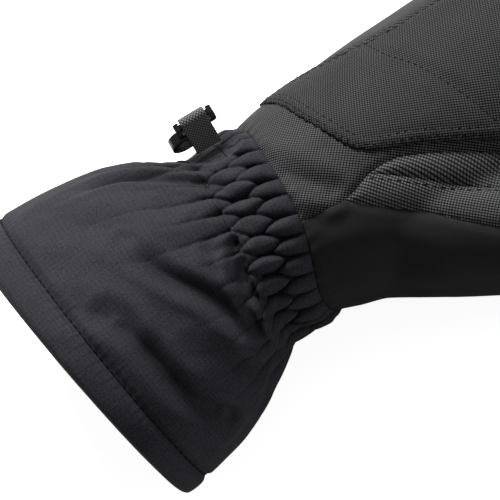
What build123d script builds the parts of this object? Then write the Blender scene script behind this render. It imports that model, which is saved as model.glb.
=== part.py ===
from build123d import *
import math
import os

# Insulated ski mitten for the left hand, lying palm down with its thumb towards -Y.
# +X runs from the cuff to the fingertips and +Z is up, away from the palm.
# The origin is on the flat underside of the palm patch, where the mitten rests.
# The mitten is a stack of sewn layers: outer panels, wadding, waterproof insert and lining.
# Each layer is what is left between two nested copies of the same form. Lengths are in mm.

# ---- main form ----
wristX = -64.5  # seam between the gathered wrist and the hand
gatherLength = 22.0
gauntletLength = 71.5  # from the gathers to the hem
palmX = 45.0  # where the hand is widest and the fingertip dome begins
fingertipLength = 86.0
palmHalfWidth = 53.0
palmHalfHeight = 36.0
wristHalfWidth = 41.5
wristHalfHeight = 32.0
hemHalfWidth = 65.0
hemHalfHeight = 41.5
wristRise = 7.0  # clearance under the wrist
footSink = 2.5  # how far the round underside is pressed flat
fingertipDrop = 9.0
cuffSwell = 2.3  # how quickly the form widens from the wrist towards the mouth
handSwell = 2.8  # and towards the hand
domePower = 0.83
wristSide = -2.0  # sideways place of the wrist's centre
hemSide = -9.0
palmSide = 0.5
hemLeanY = -0.18  # the mouth is cut at a slant, as slopes of X over Y and over Z
hemLeanZ = -0.10

# ---- thumb ----
thumbRoot = (-49.6, -17.6, 34.5)
thumbLength = 126.0
thumbSplay = 35.0  # degrees from the hand, in plan
thumbDroop = 4.0  # degrees below level
thumbBow = 2.0  # how far its middle bends outwards
thumbRootHalfWidth = 22.5
thumbRootHalfHeight = 25.0
thumbTipHalfWidth = 19.5
thumbTipHalfHeight = 19.5
thumbBluntness = 8.0

# ---- layers ----
handShell = 1.4
cuffShell = 1.2
handWadding = 5.0
cuffWadding = 3.0
insertSkin = 0.6
handLining = 1.5
cuffLining = 1.2
elasticThickness = 0.8
elasticWidth = 5.0
elasticRows = 3
patchThickness = 1.2
overlayThickness = 1.0
hemDepth = 12.0  # width of the turned hem
hemFold = 1.5  # thickness of the fold at the mouth
insertEnd = 4.0  # the insert and hand lining stop this far inside the gathers

# ---- panel seams, as points in plan unless they say otherwise ----
thumbSeam = (
    (-66.0, -28.4), (-47.5, -30.4), (-36.0, -27.5), (-27.0, -27.4), (-19.0, -30.0), (2.0, -40.5),
    (25.0, -53.0),
)
thumbPart = (44.0, -58.0)  # past the crotch, the seam runs out between thumb and hand
backOutline = (
    (-80, 44), (-50, 38.5), (-23, 34), (-2, 30), (15, 29.5), (45, 31), (78, 28), (104, 14), (112, -4),
    (104, -22), (82, -36), (50, -46), (15, -60), (-40, -75), (-90, -70), (-115, 0),
)
palmOutline = (
    (-80, 24), (-40, 30), (0, 33), (45, 34), (80, 29), (104, 14), (112, -2), (104, -19), (80, -32),
    (45, -40), (15, -52), (-40, -60), (-90, -50), (-110, -10),
)
overlayOutline = (
    (-53, 36), (-48.4, 20), (-45.1, 6.7), (-41, -6.2), (-36.8, -16.2), (-32.4, -20.8), (-25.5, -24.2),
    (-17, -27.4), (0, -36), (24, -45), (52, -41.5), (82, -31), (99, -18), (106, -3), (98, 12), (78, 24.5),
    (45, 27.5), (15, 26), (-2, 26.5), (-23, 31), (-40, 35.5),
)
patchOutline = ((-38, 26), (-42, 0), (-32, -22), (20, -30), (64, -24), (74, 0), (64, 24), (10, 29))
seamWaist = 36.0  # the back's outline acts above this height and the palm's below it
gussetTop = (-47.5, 63.3)  # in the side view, as X and Z
gussetKnee = (-30.0, 55.0)
gussetEnd = (26.0, 38.0)
gussetFloorZ = 15.0

# ---- webbing loop and clip ----
loopX = -77.0
loopAngle = 57.0  # place around the wrist, from +Y towards +Z
loopGap = 0.4  # clearance to the wrist
webbingWidth = 10.0
webbingThickness = 1.1
loopReach = 11.6  # from the sewn root to the clip's bar
barRadius = 1.5
runningClearance = 0.06
hookThickness = 4.0
eyeThickness = 2.8
eyeSide = 2.0  # width of the eye's side arms
eyeSlot = 5.6  # from the bar's centre to the far end of the slot
eyeClearance = 0.7  # beside the webbing
ringOffset = -6.6  # the hook's ring sits to one side of the eye
ringDrop = 12.6
ringInner = 3.2
ringOuter = 5.4
gateThickness = 2.0
gateWidth = 1.7
gateKnuckle = 1.3
gatePinRadius = 0.6
gateClearance = 0.15
gateSwing = 24.0  # degrees that the gate opens
clipHang = -128.0  # degrees that the clip is turned back about its bar
ringGapFrom = -58.0  # the ring is open between these angles, for the gate
ringGapTo = 40.0

ringPoints = 16
mouthOverrun = 20.0  # each form is drawn past the mouth and trimmed there later
big = 600.0
gatherX = wristX - gatherLength
hemX = gatherX - gauntletLength

# Depth of each surface under the outside of the mitten, at the hand and at the cuff.
levels = {
    "patch": (-patchThickness, -patchThickness / 2),
    "overlay": (-overlayThickness, -overlayThickness / 2),
    "outside": (0.0, 0.0),
    "wadding": (handShell, cuffShell),
    "band": (handShell + elasticThickness, cuffShell + elasticThickness),
    "insert": (handShell + handWadding, cuffShell + cuffWadding),
}
levels["lining"] = (levels["insert"][0] + insertSkin, levels["insert"][1] + insertSkin)
levels["inside"] = (levels["lining"][0] + handLining, levels["insert"][1] + cuffLining)


def swell(t, power):
    """0 at the wrist and 1 at full width, quick at first."""
    return 1 - (1 - t) ** power


def between(a, b, t):
    return a + (b - a) * t


def section(x, side, foot, halfWidth, halfHeight, t=0.0):
    """One oval cross-section about the height foot, with t as its share of the mouth's slant."""
    points = []
    for k in range(ringPoints):
        turn = 2 * math.pi * k / ringPoints - math.pi / 2
        y = halfWidth * math.cos(turn)
        z = halfHeight * math.sin(turn)
        lean = t * (hemLeanY * y + hemLeanZ * z)
        points.append((x + lean, side + y, foot + z))
    return make_face(Spline(*points, periodic=True))


def cuffShape(t):
    """Side, centre height and half sizes of the cuff, from the gathers (0) to the mouth (1)."""
    grown = swell(t, cuffSwell)
    halfHeight = between(wristHalfHeight, hemHalfHeight, grown)
    halfWidth = between(wristHalfWidth, hemHalfWidth, grown)
    foot = between(wristRise, -footSink, grown)
    return between(wristSide, hemSide, t), foot + halfHeight, halfWidth, halfHeight


def handShape(t):
    """The same for the hand, from the wrist seam (0) to the widest place (1)."""
    grown = swell(t, handSwell)
    halfHeight = between(wristHalfHeight, palmHalfHeight, grown)
    halfWidth = between(wristHalfWidth, palmHalfWidth, grown)
    foot = between(wristRise, patchThickness - footSink, grown)
    return between(wristSide, palmSide, t), foot + halfHeight, halfWidth, halfHeight


def mainForm(handDepth, cuffDepth):
    """Cuff, wrist and hand as one solid, its walls this deep under the outside."""
    sections = []
    side, height, halfWidth, halfHeight = cuffShape(1.0)
    for overrun in (mouthOverrun + 2 * cuffDepth, mouthOverrun / 2):
        sizes = (halfWidth - cuffDepth, halfHeight - cuffDepth)
        sections.append(section(hemX - overrun, side, height, *sizes, 1.0))
    for t in (1.0, 0.78, 0.57, 0.39, 0.23, 0.1):
        side, height, halfWidth, halfHeight = cuffShape(t)
        depth = between(handDepth, cuffDepth, min(1.0, 2 * t))
        x = between(gatherX, hemX, t)
        sections.append(section(x, side, height, halfWidth - depth, halfHeight - depth, t))
    for x in (gatherX, gatherX + gatherLength / 3, wristX - gatherLength / 3):
        height = wristRise + wristHalfHeight
        depths = (wristHalfWidth - handDepth, wristHalfHeight - handDepth)
        sections.append(section(x, wristSide, height, *depths))
    for t in (0.0, 0.08, 0.2, 0.36, 0.55, 0.77):
        side, height, halfWidth, halfHeight = handShape(t)
        x = between(wristX, palmX, t)
        sections.append(section(x, side, height, halfWidth - handDepth, halfHeight - handDepth))
    side, height, halfWidth, halfHeight = handShape(1.0)
    for turn in (0, 14, 31, 48, 61, 72, 80.5, 86.5):
        reach = math.sin(math.radians(turn)) ** domePower if turn else 0.0
        share = math.cos(math.radians(turn)) ** domePower
        x = palmX + (fingertipLength - handDepth) * reach
        drop = fingertipDrop * reach**2
        sizes = ((halfWidth - handDepth) * share, (halfHeight - handDepth) * share)
        sections.append(section(x, side, height - drop, *sizes))
    return loft(sections)


thumbPlane = Plane(
    origin=thumbRoot,
    x_dir=(math.sin(math.radians(thumbSplay)), math.cos(math.radians(thumbSplay)), 0),
    z_dir=(
        math.cos(math.radians(thumbSplay)) * math.cos(math.radians(thumbDroop)),
        -math.sin(math.radians(thumbSplay)) * math.cos(math.radians(thumbDroop)),
        -math.sin(math.radians(thumbDroop)),
    ),
)


def thumbForm(depth):
    """The thumb as one solid that starts inside the hand."""
    length = thumbLength - depth
    sections = []
    for turn in (0, 10, 20, 30, 40, 50, 60, 70, 79, 86):
        t = math.sin(math.radians(turn))
        blunt = (1 - t**thumbBluntness) ** 0.5
        sizes = (
            (between(thumbRootHalfWidth, thumbTipHalfWidth, t) - depth) * blunt,
            (between(thumbRootHalfHeight, thumbTipHalfHeight, t) - depth) * blunt,
        )
        bow = -thumbBow * math.sin(math.pi * t)
        sections.append(thumbPlane.offset(length * t) * Pos(bow, 0) * Ellipse(*sizes))
    return loft(sections)


def block(x0, x1, y0, y1, z0, z1):
    """A box between two corners."""
    return Pos((x0 + x1) / 2, (y0 + y1) / 2, (z0 + z1) / 2) * Box(x1 - x0, y1 - y0, z1 - z0)


def upright(*corners):
    """A tall prism over corners in plan."""
    return Pos(0, 0, -big / 2) * extrude(make_face(Polyline(*corners, close=True)), big)


def rounded(points):
    """A tall prism over a smooth outline in plan."""
    return Pos(0, 0, -big / 2) * extrude(make_face(Spline(*points, periodic=True)), big)


def crosswise(*corners):
    """A wide prism over corners in the side view, as (x, z)."""
    face = make_face(Polyline(*[(x, 0, z) for x, z in corners], close=True))
    return Pos(0, big / 2, 0) * extrude(face, big, dir=(0, -1, 0))


def form(level):
    """The whole mitten's volume inside one surface of the stack, with its underside pressed flat."""
    handDepth, cuffDepth = levels[level]
    solid = mainForm(handDepth, cuffDepth) + thumbForm(handDepth)
    floorUnderHand = patchThickness + handDepth
    solid -= block(gatherX + 10, big, -big, big, -big, floorUnderHand)
    return solid - block(-big, gatherX + 10, -big, big, -big, cuffDepth)


def only(shape):
    """Drops crumbs that a cut leaves beside the piece itself."""
    solids = sorted(shape.solids(), key=lambda s: s.volume)
    biggest = solids[-1].volume
    return Compound([s for s in solids if s.volume > biggest / 50])


parts = {}
# ---- where the pieces meet ----
handZone = block(wristX, big, -big, big, -big, big)
gatherZone = block(gatherX, wristX, -big, big, -big, big)
cuffZone = block(-big, gatherX, -big, big, -big, big)
insertZone = block(gatherX + insertEnd, big, -big, big, -big, big)
upperHalf = block(-big, big, -big, big, cuffShape(0.5)[1] - 1.3, big)


def mouthSlab(depth, reach):
    """The slanted slab that lies between two distances from the mouth."""
    side, height = cuffShape(1.0)[:2]
    tilt = Plane(
        origin=(hemX, side, height),
        x_dir=(hemLeanY, 1, 0),
        z_dir=Vector(1, -hemLeanY, -hemLeanZ).normalized(),
    )
    return tilt.offset(depth) * Pos(0, 0, (reach - depth) / 2) * Box(2 * big, 2 * big, reach - depth)


forms = {name: form(name) for name in levels}


def layer(outer, inner):
    """What lies between two surfaces of the stack, trimmed at the mouth."""
    return (forms[outer] - forms[inner]) & mouthSlab(0, big)


shell = layer("outside", "wadding")
wadding = layer("wadding", "insert")
insert = layer("insert", "lining")
cuffLiningLayer = layer("insert", "inside")
handLiningLayer = layer("lining", "inside")

crotch = thumbSeam[-1]
seamLine = Spline(*thumbSeam)
farCorner = (big, thumbPart[1] - big / 2)
seamSides = Polyline(crotch, thumbPart, farCorner, (big, -big), (thumbSeam[0][0], -big), thumbSeam[0])
thumbPlan = make_face(Wire([seamLine.edge(), *seamSides.edges()]))
thumbZone = handZone & (Pos(0, 0, -big / 2) * extrude(thumbPlan, big))
thumbWadding = handZone & upright(
    (wristX - 1, -big), (wristX - 1, crotch[1]), crotch, thumbPart, farCorner, (big, -big)
)
aboveWaist = block(-big, big, -big, big, seamWaist, big)
backZone = rounded(backOutline) & aboveWaist
palmZone = rounded(palmOutline) - aboveWaist
gussetZone = crosswise(
    (wristX - 1, gussetFloorZ),
    (wristX - 1, big),
    (gussetTop[0], big),
    gussetTop,
    gussetKnee,
    gussetEnd,
    (gussetEnd[0], gussetFloorZ),
)
thumbUpper = crosswise(
    (gussetTop[0], big), gussetTop, gussetKnee, gussetEnd, (big, gussetEnd[1]), (big, big)
)
crestFall = math.tan(math.radians(thumbSplay))
crestZone = upright(
    (-big, thumbRoot[1] + crestFall * (big + thumbRoot[0])),
    (big, thumbRoot[1] - crestFall * (big - thumbRoot[0])),
    (big, big),
)

# ---- hand panels ----
handShellLayer = shell & handZone
thumbShell = handShellLayer & thumbZone
handOnly = handShellLayer - thumbZone
parts["hand_back"] = only(handOnly & backZone)
parts["palm_panel"] = only(handOnly & palmZone)
parts["side_wall"] = only(handOnly - backZone - palmZone)
overlayLayer = (forms["overlay"] - forms["outside"]) & aboveWaist & handZone
parts["knuckle_overlay"] = only((overlayLayer & rounded(overlayOutline)) - thumbZone)
patchLayer = (forms["patch"] - forms["outside"]) - aboveWaist
parts["palm_patch"] = only((patchLayer & rounded(patchOutline)) - thumbZone)

# ---- thumb panels ----
parts["wrist_gusset"] = only(thumbShell & gussetZone)
thumbTopSide = (thumbShell & thumbUpper) - gussetZone
parts["thumb_crest"] = only(thumbTopSide & crestZone)
parts["thumb_back"] = only(thumbTopSide - crestZone)
parts["thumb_palm"] = only(thumbShell - gussetZone - thumbUpper)

# ---- gathered wrist and its elastics ----
parts["wrist_gathers"] = only(shell & gatherZone)
elasticStep = gatherLength / elasticRows
bandLayer = forms["wadding"] - forms["band"]
elasticSlabs = []
for row in range(elasticRows):
    middle = gatherX + elasticStep * (row + 0.5)
    slab = block(middle - elasticWidth / 2, middle + elasticWidth / 2, -big, big, -big, big)
    parts[f"wrist_elastic_{row + 1}"] = only(bandLayer & slab)
    elasticSlabs.append(slab)

# ---- gauntlet ----
hemSlab = mouthSlab(-20, hemDepth)
foldSlab = mouthSlab(-20, hemFold)
cuffShellLayer = shell & cuffZone
cuffWall = layer("outside", "inside")
cuffLiningPiece = cuffLiningLayer & block(-big, gatherX + insertEnd, -big, big, -big, big)
parts["gauntlet_hem"] = only(
    (cuffWall & foldSlab) + (cuffShellLayer & hemSlab) + (cuffLiningPiece & hemSlab)
)
parts["gauntlet_back"] = only((cuffShellLayer - hemSlab) & upperHalf)
parts["gauntlet_palm"] = only(cuffShellLayer - hemSlab - upperHalf)
parts["gauntlet_lining"] = only(cuffLiningPiece - hemSlab)
cuffWaddingPiece = (wadding & block(-big, wristX, -big, big, -big, big)) - foldSlab
for slab in elasticSlabs:
    cuffWaddingPiece -= bandLayer & slab
parts["gauntlet_wadding"] = only(cuffWaddingPiece)

# ---- inside the hand ----
parts["hand_wadding"] = only((wadding & handZone) - thumbWadding)
parts["thumb_wadding"] = only(wadding & thumbWadding)
parts["waterproof_insert"] = only(insert & insertZone)
parts["hand_lining"] = only((handLiningLayer & insertZone) - thumbWadding)
parts["thumb_lining"] = only(handLiningLayer & thumbWadding)

# ---- webbing loop ----
angle = math.radians(loopAngle)
wristHeight = wristRise + wristHalfHeight
rootPoint = Vector(
    loopX, wristSide + wristHalfWidth * math.cos(angle), wristHeight + wristHalfHeight * math.sin(angle)
)
outward = Vector(0, math.cos(angle) / wristHalfWidth, math.sin(angle) / wristHalfHeight).normalized()
rollRadius = webbingThickness + webbingThickness / 8
rootAxis = rootPoint + outward * (loopGap + rollRadius)
barAxis = rootAxis + outward * loopReach
# The loop is drawn in a plane across its width: x along the webbing's reach and y across its thickness.
loopPlane = Plane(origin=rootAxis, x_dir=outward, z_dir=(1, 0, 0))
eyeRadius = barRadius + runningClearance
outerRadius = eyeRadius + webbingThickness


def teardrop(tipRadius, rootRadius):
    """The outline of webbing that closes from round the bar to its sewn root."""
    lean = math.acos((tipRadius - rootRadius) / loopReach)
    corners = []
    for sign in (1, -1):
        for centre, radius in ((loopReach, tipRadius), (0.0, rootRadius)):
            x = centre + radius * math.cos(lean)
            corners.append((x, sign * radius * math.sin(lean)))
    outline = make_face(Polyline(corners[0], corners[1], corners[3], corners[2], close=True))
    outline += Pos(loopReach, 0) * Circle(tipRadius)
    return outline + Circle(rootRadius) if rootRadius > 0.1 else outline


webbing = teardrop(outerRadius, rollRadius) - teardrop(eyeRadius, 0.05)
parts["clip_loop"] = Pos(-webbingWidth / 2, 0, 0) * extrude(loopPlane * webbing, webbingWidth)

# ---- clip: drawn flat in a plane whose x runs along the bar and whose y points from bar to hook ----
across = Vector(0, -outward.Z, outward.Y)
hang = math.radians(clipHang)
clipAlong = outward * math.cos(hang) + across * math.sin(hang)
clipPlane = Plane(origin=barAxis, x_dir=(1, 0, 0), z_dir=Vector(1, 0, 0).cross(clipAlong))
slotHalf = webbingWidth / 2 + eyeClearance
eyeHalf = slotHalf + eyeSide
eyeEnd = eyeSlot + 2.2


def thick(sketch, thickness):
    """A flat shape of the clip as a plate centred on its plane."""
    return extrude(clipPlane.offset(-thickness / 2) * sketch, thickness)


frameOutline = Pos(0, (eyeEnd - barRadius) / 2) * RectangleRounded(2 * eyeHalf, eyeEnd + barRadius, 1.4)
slotOutline = Pos(0, eyeSlot / 2 - 5) * Rectangle(2 * slotHalf, eyeSlot + 10)
eyeFrame = thick(frameOutline - slotOutline, eyeThickness)
bar = clipPlane * Rot(0, 90, 0) * Cylinder(barRadius, 2 * slotHalf + 1.0)
ringCentre = (ringOffset, ringDrop)
middleRadius = (ringInner + ringOuter) / 2


def onRing(radius, degrees):
    """A point of the hook's ring, in the clip's plane."""
    turn = math.radians(degrees)
    return (ringCentre[0] + radius * math.cos(turn), ringCentre[1] + radius * math.sin(turn))


# The gate closes the ring's open side: it is hung near the eye and shuts on the ring's tip.
gatePivot = onRing(middleRadius + 0.45, ringGapFrom)
gateEnd = onRing(middleRadius, ringGapTo)
gapWedge = make_face(
    Polyline(
        ringCentre,
        onRing(20, ringGapFrom),
        onRing(26, (ringGapFrom + ringGapTo) / 2),
        onRing(20, ringGapTo),
        close=True,
    )
)
hookRing = Pos(*ringCentre) * (Circle(ringOuter) - Circle(ringInner)) - gapWedge
hookTip = Pos(*gateEnd) * Circle((ringOuter - ringInner) / 2)
neck = make_face(
    Polyline(
        (-eyeHalf + 1.2, eyeEnd - 1.6),
        (1.0, eyeEnd - 1.6),
        (gatePivot[0] + gateKnuckle + 0.4, gatePivot[1]),
        onRing(middleRadius, -90),
        onRing(middleRadius, -140),
        close=True,
    )
)
boss = Pos(*gatePivot) * Circle(gateKnuckle + 0.5)
hookOutline = (hookRing + hookTip + neck + boss) - Pos(*ringCentre) * Circle(ringInner)
hookPlate = thick(hookOutline, hookThickness)


def gateShape(spare):
    """The gate's outline: a piece of the ring, from its knuckle to the ring's tip."""
    arc = Circle(middleRadius + gateWidth / 2 + spare) - Circle(middleRadius - gateWidth / 2 - spare)
    reach = big / 20
    middle = (ringGapFrom + ringGapTo) / 2
    start = onRing(reach, ringGapFrom)
    end = onRing(reach, ringGapTo)
    wedge = Polyline(ringCentre, start, onRing(reach * 1.4, middle), end, close=True)
    outline = (Pos(*ringCentre) * arc) & make_face(wedge)
    outline += Pos(*gateEnd) * Circle(gateWidth / 2 + spare)
    return outline + Pos(*gatePivot) * Circle(gateKnuckle + spare)


# A slot through the boss and the tip takes the gate, and leaves a cheek on each side of it.
slotOpening = gateShape(gateClearance)
for swing in (gateSwing / 4, gateSwing / 2, gateSwing * 3 / 4, gateSwing, gateSwing + 3):
    turned = Pos(*gatePivot) * Rot(0, 0, swing) * Pos(-gatePivot[0], -gatePivot[1])
    slotOpening += turned * gateShape(gateClearance)
hookSlot = thick(slotOpening, gateThickness + 2 * gateClearance)
gateHinge = clipPlane * Pos(*gatePivot)
gatePin = gateHinge * Cylinder(gatePinRadius, hookThickness)
pinHole = gateHinge * Cylinder(gatePinRadius, hookThickness + 2)
parts["clip_hook"] = only((eyeFrame + hookPlate - hookSlot) + bar - pinHole)
parts["gate_pin"] = gatePin

gateHole = gateHinge * Cylinder(gatePinRadius + runningClearance, hookThickness + 2)
parts["clip_gate"] = only(thick(gateShape(0.0), gateThickness) - gateHole)

os.makedirs("parts", exist_ok=True)
for name, piece in parts.items():
    export_step(piece, f"parts/{name}.step")
    print(f"{name:20s} solids {len(piece.solids())} volume {piece.volume / 1000:9.3f} cm3")
print("bar axis", [round(v, 2) for v in barAxis], "root axis", [round(v, 2) for v in rootAxis])
print("clip along", [round(v, 4) for v in clipAlong], "normal", [round(v, 4) for v in clipPlane.z_dir])
pivot = clipPlane.from_local_coords(Vector(*gatePivot, 0))
ringAt = clipPlane.from_local_coords(Vector(*ringCentre, 0))
print("gate pivot", [round(v, 2) for v in pivot], "ring centre", [round(v, 2) for v in ringAt])
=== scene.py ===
import bpy
import bmesh
import math
import numpy as np
from mathutils import Matrix, Vector, noise
from mathutils.bvhtree import BVHTree
from mathutils.kdtree import KDTree


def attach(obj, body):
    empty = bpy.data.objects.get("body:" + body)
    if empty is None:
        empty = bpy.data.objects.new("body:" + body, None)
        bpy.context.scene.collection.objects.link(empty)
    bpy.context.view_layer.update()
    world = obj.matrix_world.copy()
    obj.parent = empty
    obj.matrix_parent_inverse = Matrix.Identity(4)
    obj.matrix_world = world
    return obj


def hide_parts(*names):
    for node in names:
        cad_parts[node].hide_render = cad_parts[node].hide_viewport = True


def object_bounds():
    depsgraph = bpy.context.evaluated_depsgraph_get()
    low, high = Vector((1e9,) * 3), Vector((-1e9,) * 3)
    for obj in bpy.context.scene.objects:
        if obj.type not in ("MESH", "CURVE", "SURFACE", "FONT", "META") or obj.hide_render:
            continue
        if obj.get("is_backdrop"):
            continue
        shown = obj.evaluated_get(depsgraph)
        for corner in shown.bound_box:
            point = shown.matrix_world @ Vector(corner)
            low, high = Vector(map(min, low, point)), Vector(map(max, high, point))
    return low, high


# Insulated ski mitten, palm down. Shapes are worked out in mm and turned to metres in addPiece.
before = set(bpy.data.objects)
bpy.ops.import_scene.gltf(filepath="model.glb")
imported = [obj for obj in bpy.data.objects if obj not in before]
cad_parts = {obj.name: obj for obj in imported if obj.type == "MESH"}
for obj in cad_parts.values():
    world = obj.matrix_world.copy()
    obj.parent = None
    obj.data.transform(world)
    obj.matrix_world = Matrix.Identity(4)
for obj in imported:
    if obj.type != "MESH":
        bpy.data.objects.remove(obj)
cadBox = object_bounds()
print("frame loaded")

# the mitten's plain form, after the CAD
form = {
    "wristX": -64.5,
    "gatherX": -86.5,
    "hemX": -158.0,
    "palmX": 45.0,
    "fingertips": 86.0,
    "wristHalf": (41.5, 32.0),
    "hemHalf": (65.0, 41.5),
    "palmHalf": (53.0, 36.0),
    "foot": (-2.5, 7.0, -1.3),  # underside at the mouth, wrist and palm
    "side": (-9.0, -2.0, 0.5),
    "lean": (-0.18, -0.10),
    "drop": 9.0,
    "cuffSwell": 2.3,
    "handSwell": 2.8,
    "domePower": 0.83,
}
thumb = {
    "root": (-49.6, -17.6, 34.5),
    "length": 126.0,
    "splay": 35.0,
    "droop": 4.0,
    "bow": 2.0,
    "rootHalf": (22.5, 25.0),
    "tipHalf": (19.5, 19.5),
    "blunt": 8.0,
}


# shapes
# 0 below low, 1 above high and smooth between
def smooth(value, low, high):
    t = np.clip((value - low) / (high - low), 0, 1)
    return t * t * (3 - 2 * t)


# side, centre height, half width and half height of the mitten at x, and the mouth's slant there
def oval(x):
    x = np.asarray(x, float)
    cuff = np.clip((form["gatherX"] - x) / (form["gatherX"] - form["hemX"]), 0, 1)
    hand = np.clip((x - form["wristX"]) / (form["palmX"] - form["wristX"]), 0, 1)
    reach = np.clip((x - form["palmX"]) / form["fingertips"], 0, 1)
    power = form["domePower"]
    share = (1 - reach ** (2 / power)) ** (power / 2)
    cuffGrown = 1 - (1 - cuff) ** form["cuffSwell"]
    handGrown = 1 - (1 - hand) ** form["handSwell"]
    halves = []
    for k in (0, 1):
        wrist = form["wristHalf"][k]
        half = wrist + cuffGrown * (form["hemHalf"][k] - wrist) + handGrown * (form["palmHalf"][k] - wrist)
        halves.append(half)
    atMouth, atWrist, atPalm = form["foot"]
    foot = atWrist + cuffGrown * (atMouth - atWrist) + handGrown * (atPalm - atWrist)
    height = foot + halves[1] - form["drop"] * reach**2
    atMouth, atWrist, atPalm = form["side"]
    side = atWrist + cuff * (atMouth - atWrist) + hand * (atPalm - atWrist)
    return side, height, halves[0] * share, halves[1] * share, cuff


# points on the mitten at x, turn radians round from +Y towards +Z, raised by lift
def surface(x, turn, lift=0.0):
    side, height, halfWidth, halfHeight, slant = oval(x)
    y, z = halfWidth * np.cos(turn), halfHeight * np.sin(turn)
    normal = np.stack([np.zeros_like(y), np.cos(turn) * halfHeight, np.sin(turn) * halfWidth], -1)
    normal /= np.maximum(np.linalg.norm(normal, axis=-1, keepdims=True), 1e-9)
    lean = slant * (form["lean"][0] * y + form["lean"][1] * z)
    lift = np.asarray(lift, float)
    point = np.stack([x + lean, side + y, height + z], -1) + normal * lift[..., None]
    point[..., 2] = np.maximum(point[..., 2], 0.12 - np.minimum(lift, 0))  # pressed flat where it lies down
    return point


def thumbAxes():
    splay, droop = math.radians(thumb["splay"]), math.radians(thumb["droop"])
    along = np.array(
        [math.cos(splay) * math.cos(droop), -math.sin(splay) * math.cos(droop), -math.sin(droop)]
    )
    across = np.array([math.sin(splay), math.cos(splay), 0.0])
    return across, np.cross(along, across), along


def thumbRing(t, columns):
    across, up, along = thumbAxes()
    blunt = (1 - t ** thumb["blunt"]) ** 0.5
    wide, high = [(a + (b - a) * t) * blunt for a, b in zip(thumb["rootHalf"], thumb["tipHalf"])]
    turn = np.linspace(0, 2 * math.pi, columns, endpoint=False)
    middle = np.array(thumb["root"]) + along * thumb["length"] * t
    middle = middle - across * thumb["bow"] * math.sin(math.pi * t)
    return middle + np.outer(wide * np.cos(turn), across) + np.outer(high * np.sin(turn), up)


# quads over rows of points that each close on themselves, with both ends capped
def tubeFaces(rows, columns, start=0):
    faces = []
    for r in range(rows - 1):
        for c in range(columns):
            d = (c + 1) % columns
            a = start + r * columns
            faces.append((a + c, a + d, a + columns + d, a + columns + c))
    faces.append(tuple(start + c for c in reversed(range(columns))))
    faces.append(tuple(start + (rows - 1) * columns + c for c in range(columns)))
    return faces


# one even skin over several closed shapes, as points and quads
def remeshed(points, faces, size):
    mesh = bpy.data.meshes.new("skin")
    mesh.from_pydata((np.asarray(points) * 0.001).tolist(), [], faces)
    skin = bpy.data.objects.new("skin", mesh)
    bpy.context.scene.collection.objects.link(skin)
    remesh = skin.modifiers.new("skin", "REMESH")
    remesh.mode = "VOXEL"
    remesh.voxel_size = size * 0.001
    bpy.context.view_layer.update()
    made = skin.evaluated_get(bpy.context.evaluated_depsgraph_get()).to_mesh()
    count = len(made.vertices)
    flat = np.empty(count * 3)
    made.vertices.foreach_get("co", flat)
    quads = [tuple(p.vertices) for p in made.polygons]
    bpy.data.objects.remove(skin)
    bpy.data.meshes.remove(mesh)
    return flat.reshape(-1, 3) * 1000, quads


# evens points out along their edges without shrinking the shape much
def relaxed(points, edges, rounds, weight=None):
    points = points.copy()
    count = np.zeros(len(points))
    np.add.at(count, edges.ravel(), 1)
    for step in range(rounds * 2):
        total = np.zeros_like(points)
        np.add.at(total, edges[:, 0], points[edges[:, 1]])
        np.add.at(total, edges[:, 1], points[edges[:, 0]])
        pull = total / count[:, None] - points
        strength = 0.55 if step % 2 == 0 else -0.57
        if weight is not None:
            strength = 0.5 * weight[:, None]
        points += pull * strength
    return points


def edgesOf(faces):
    found = set()
    for face in faces:
        for a, b in zip(face, face[1:] + face[:1]):
            found.add((min(a, b), max(a, b)))
    return np.array(sorted(found))


def normalsOf(points, faces):
    total = np.zeros_like(points)
    for size in {len(f) for f in faces}:
        same = np.array([f for f in faces if len(f) == size])
        p = points[same]
        n = np.zeros((len(same), 3))
        for k in range(size):
            n += np.cross(p[:, k], p[:, (k + 1) % size])
        for k in range(size):
            np.add.at(total, same[:, k], n)
    return total / np.maximum(np.linalg.norm(total, axis=1, keepdims=True), 1e-9)


# a smooth line through points, as many short pieces
def curveThrough(points, closed=False, step=2.0):
    p = np.asarray(points, float)
    count = len(p)
    out = []
    for k in range(count if closed else count - 1):
        if closed:
            a, b, c, d = p[k - 1], p[k], p[(k + 1) % count], p[(k + 2) % count]
        else:
            a, b, c, d = p[max(k - 1, 0)], p[k], p[k + 1], p[min(k + 2, count - 1)]
        pieces = max(1, int(np.linalg.norm(c - b) / step))
        for t in np.arange(pieces) / pieces:
            bend = 2 * a - 5 * b + 4 * c - d
            twist = 3 * b - a - 3 * c + d
            out.append(0.5 * (2 * b + (c - a) * t + bend * t**2 + twist * t**3))
    if not closed:
        out.append(p[-1])
    return np.array(out)


# distance of each point to a line of many pieces, in as many dimensions as the line has
def lineDistance(points, line, closed=False):
    nearest = np.full(len(points), 1e9)
    ends = list(zip(line[:-1], line[1:]))
    if closed:
        ends.append((line[-1], line[0]))
    for a, b in ends:
        ab = b - a
        t = np.clip(((points - a) @ ab) / max(ab @ ab, 1e-12), 0, 1)
        gap = points - a - t[:, None] * ab
        nearest = np.minimum(nearest, np.einsum("ij,ij->i", gap, gap))
    return np.sqrt(nearest)


# whether flat points lie within a closed outline
def inside(points, outline):
    x, y = points[:, 0], points[:, 1]
    within = np.zeros(len(points), bool)
    for a, b in zip(outline, np.roll(outline, -1, axis=0)):
        if a[1] == b[1]:
            continue
        crosses = (a[1] > y) != (b[1] > y)
        within ^= crosses & (x < (b[0] - a[0]) * (y - a[1]) / (b[1] - a[1]) + a[0])
    return within


# a field that is positive within an outline, drawn in plan or in the side view
def region(outline, axes=(0, 1)):
    outline = np.asarray(outline, float)

    def field(points):
        flat = points[:, axes]
        gap = lineDistance(flat, outline, True)
        return np.where(inside(flat, outline), gap, -gap)

    return field


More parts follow.
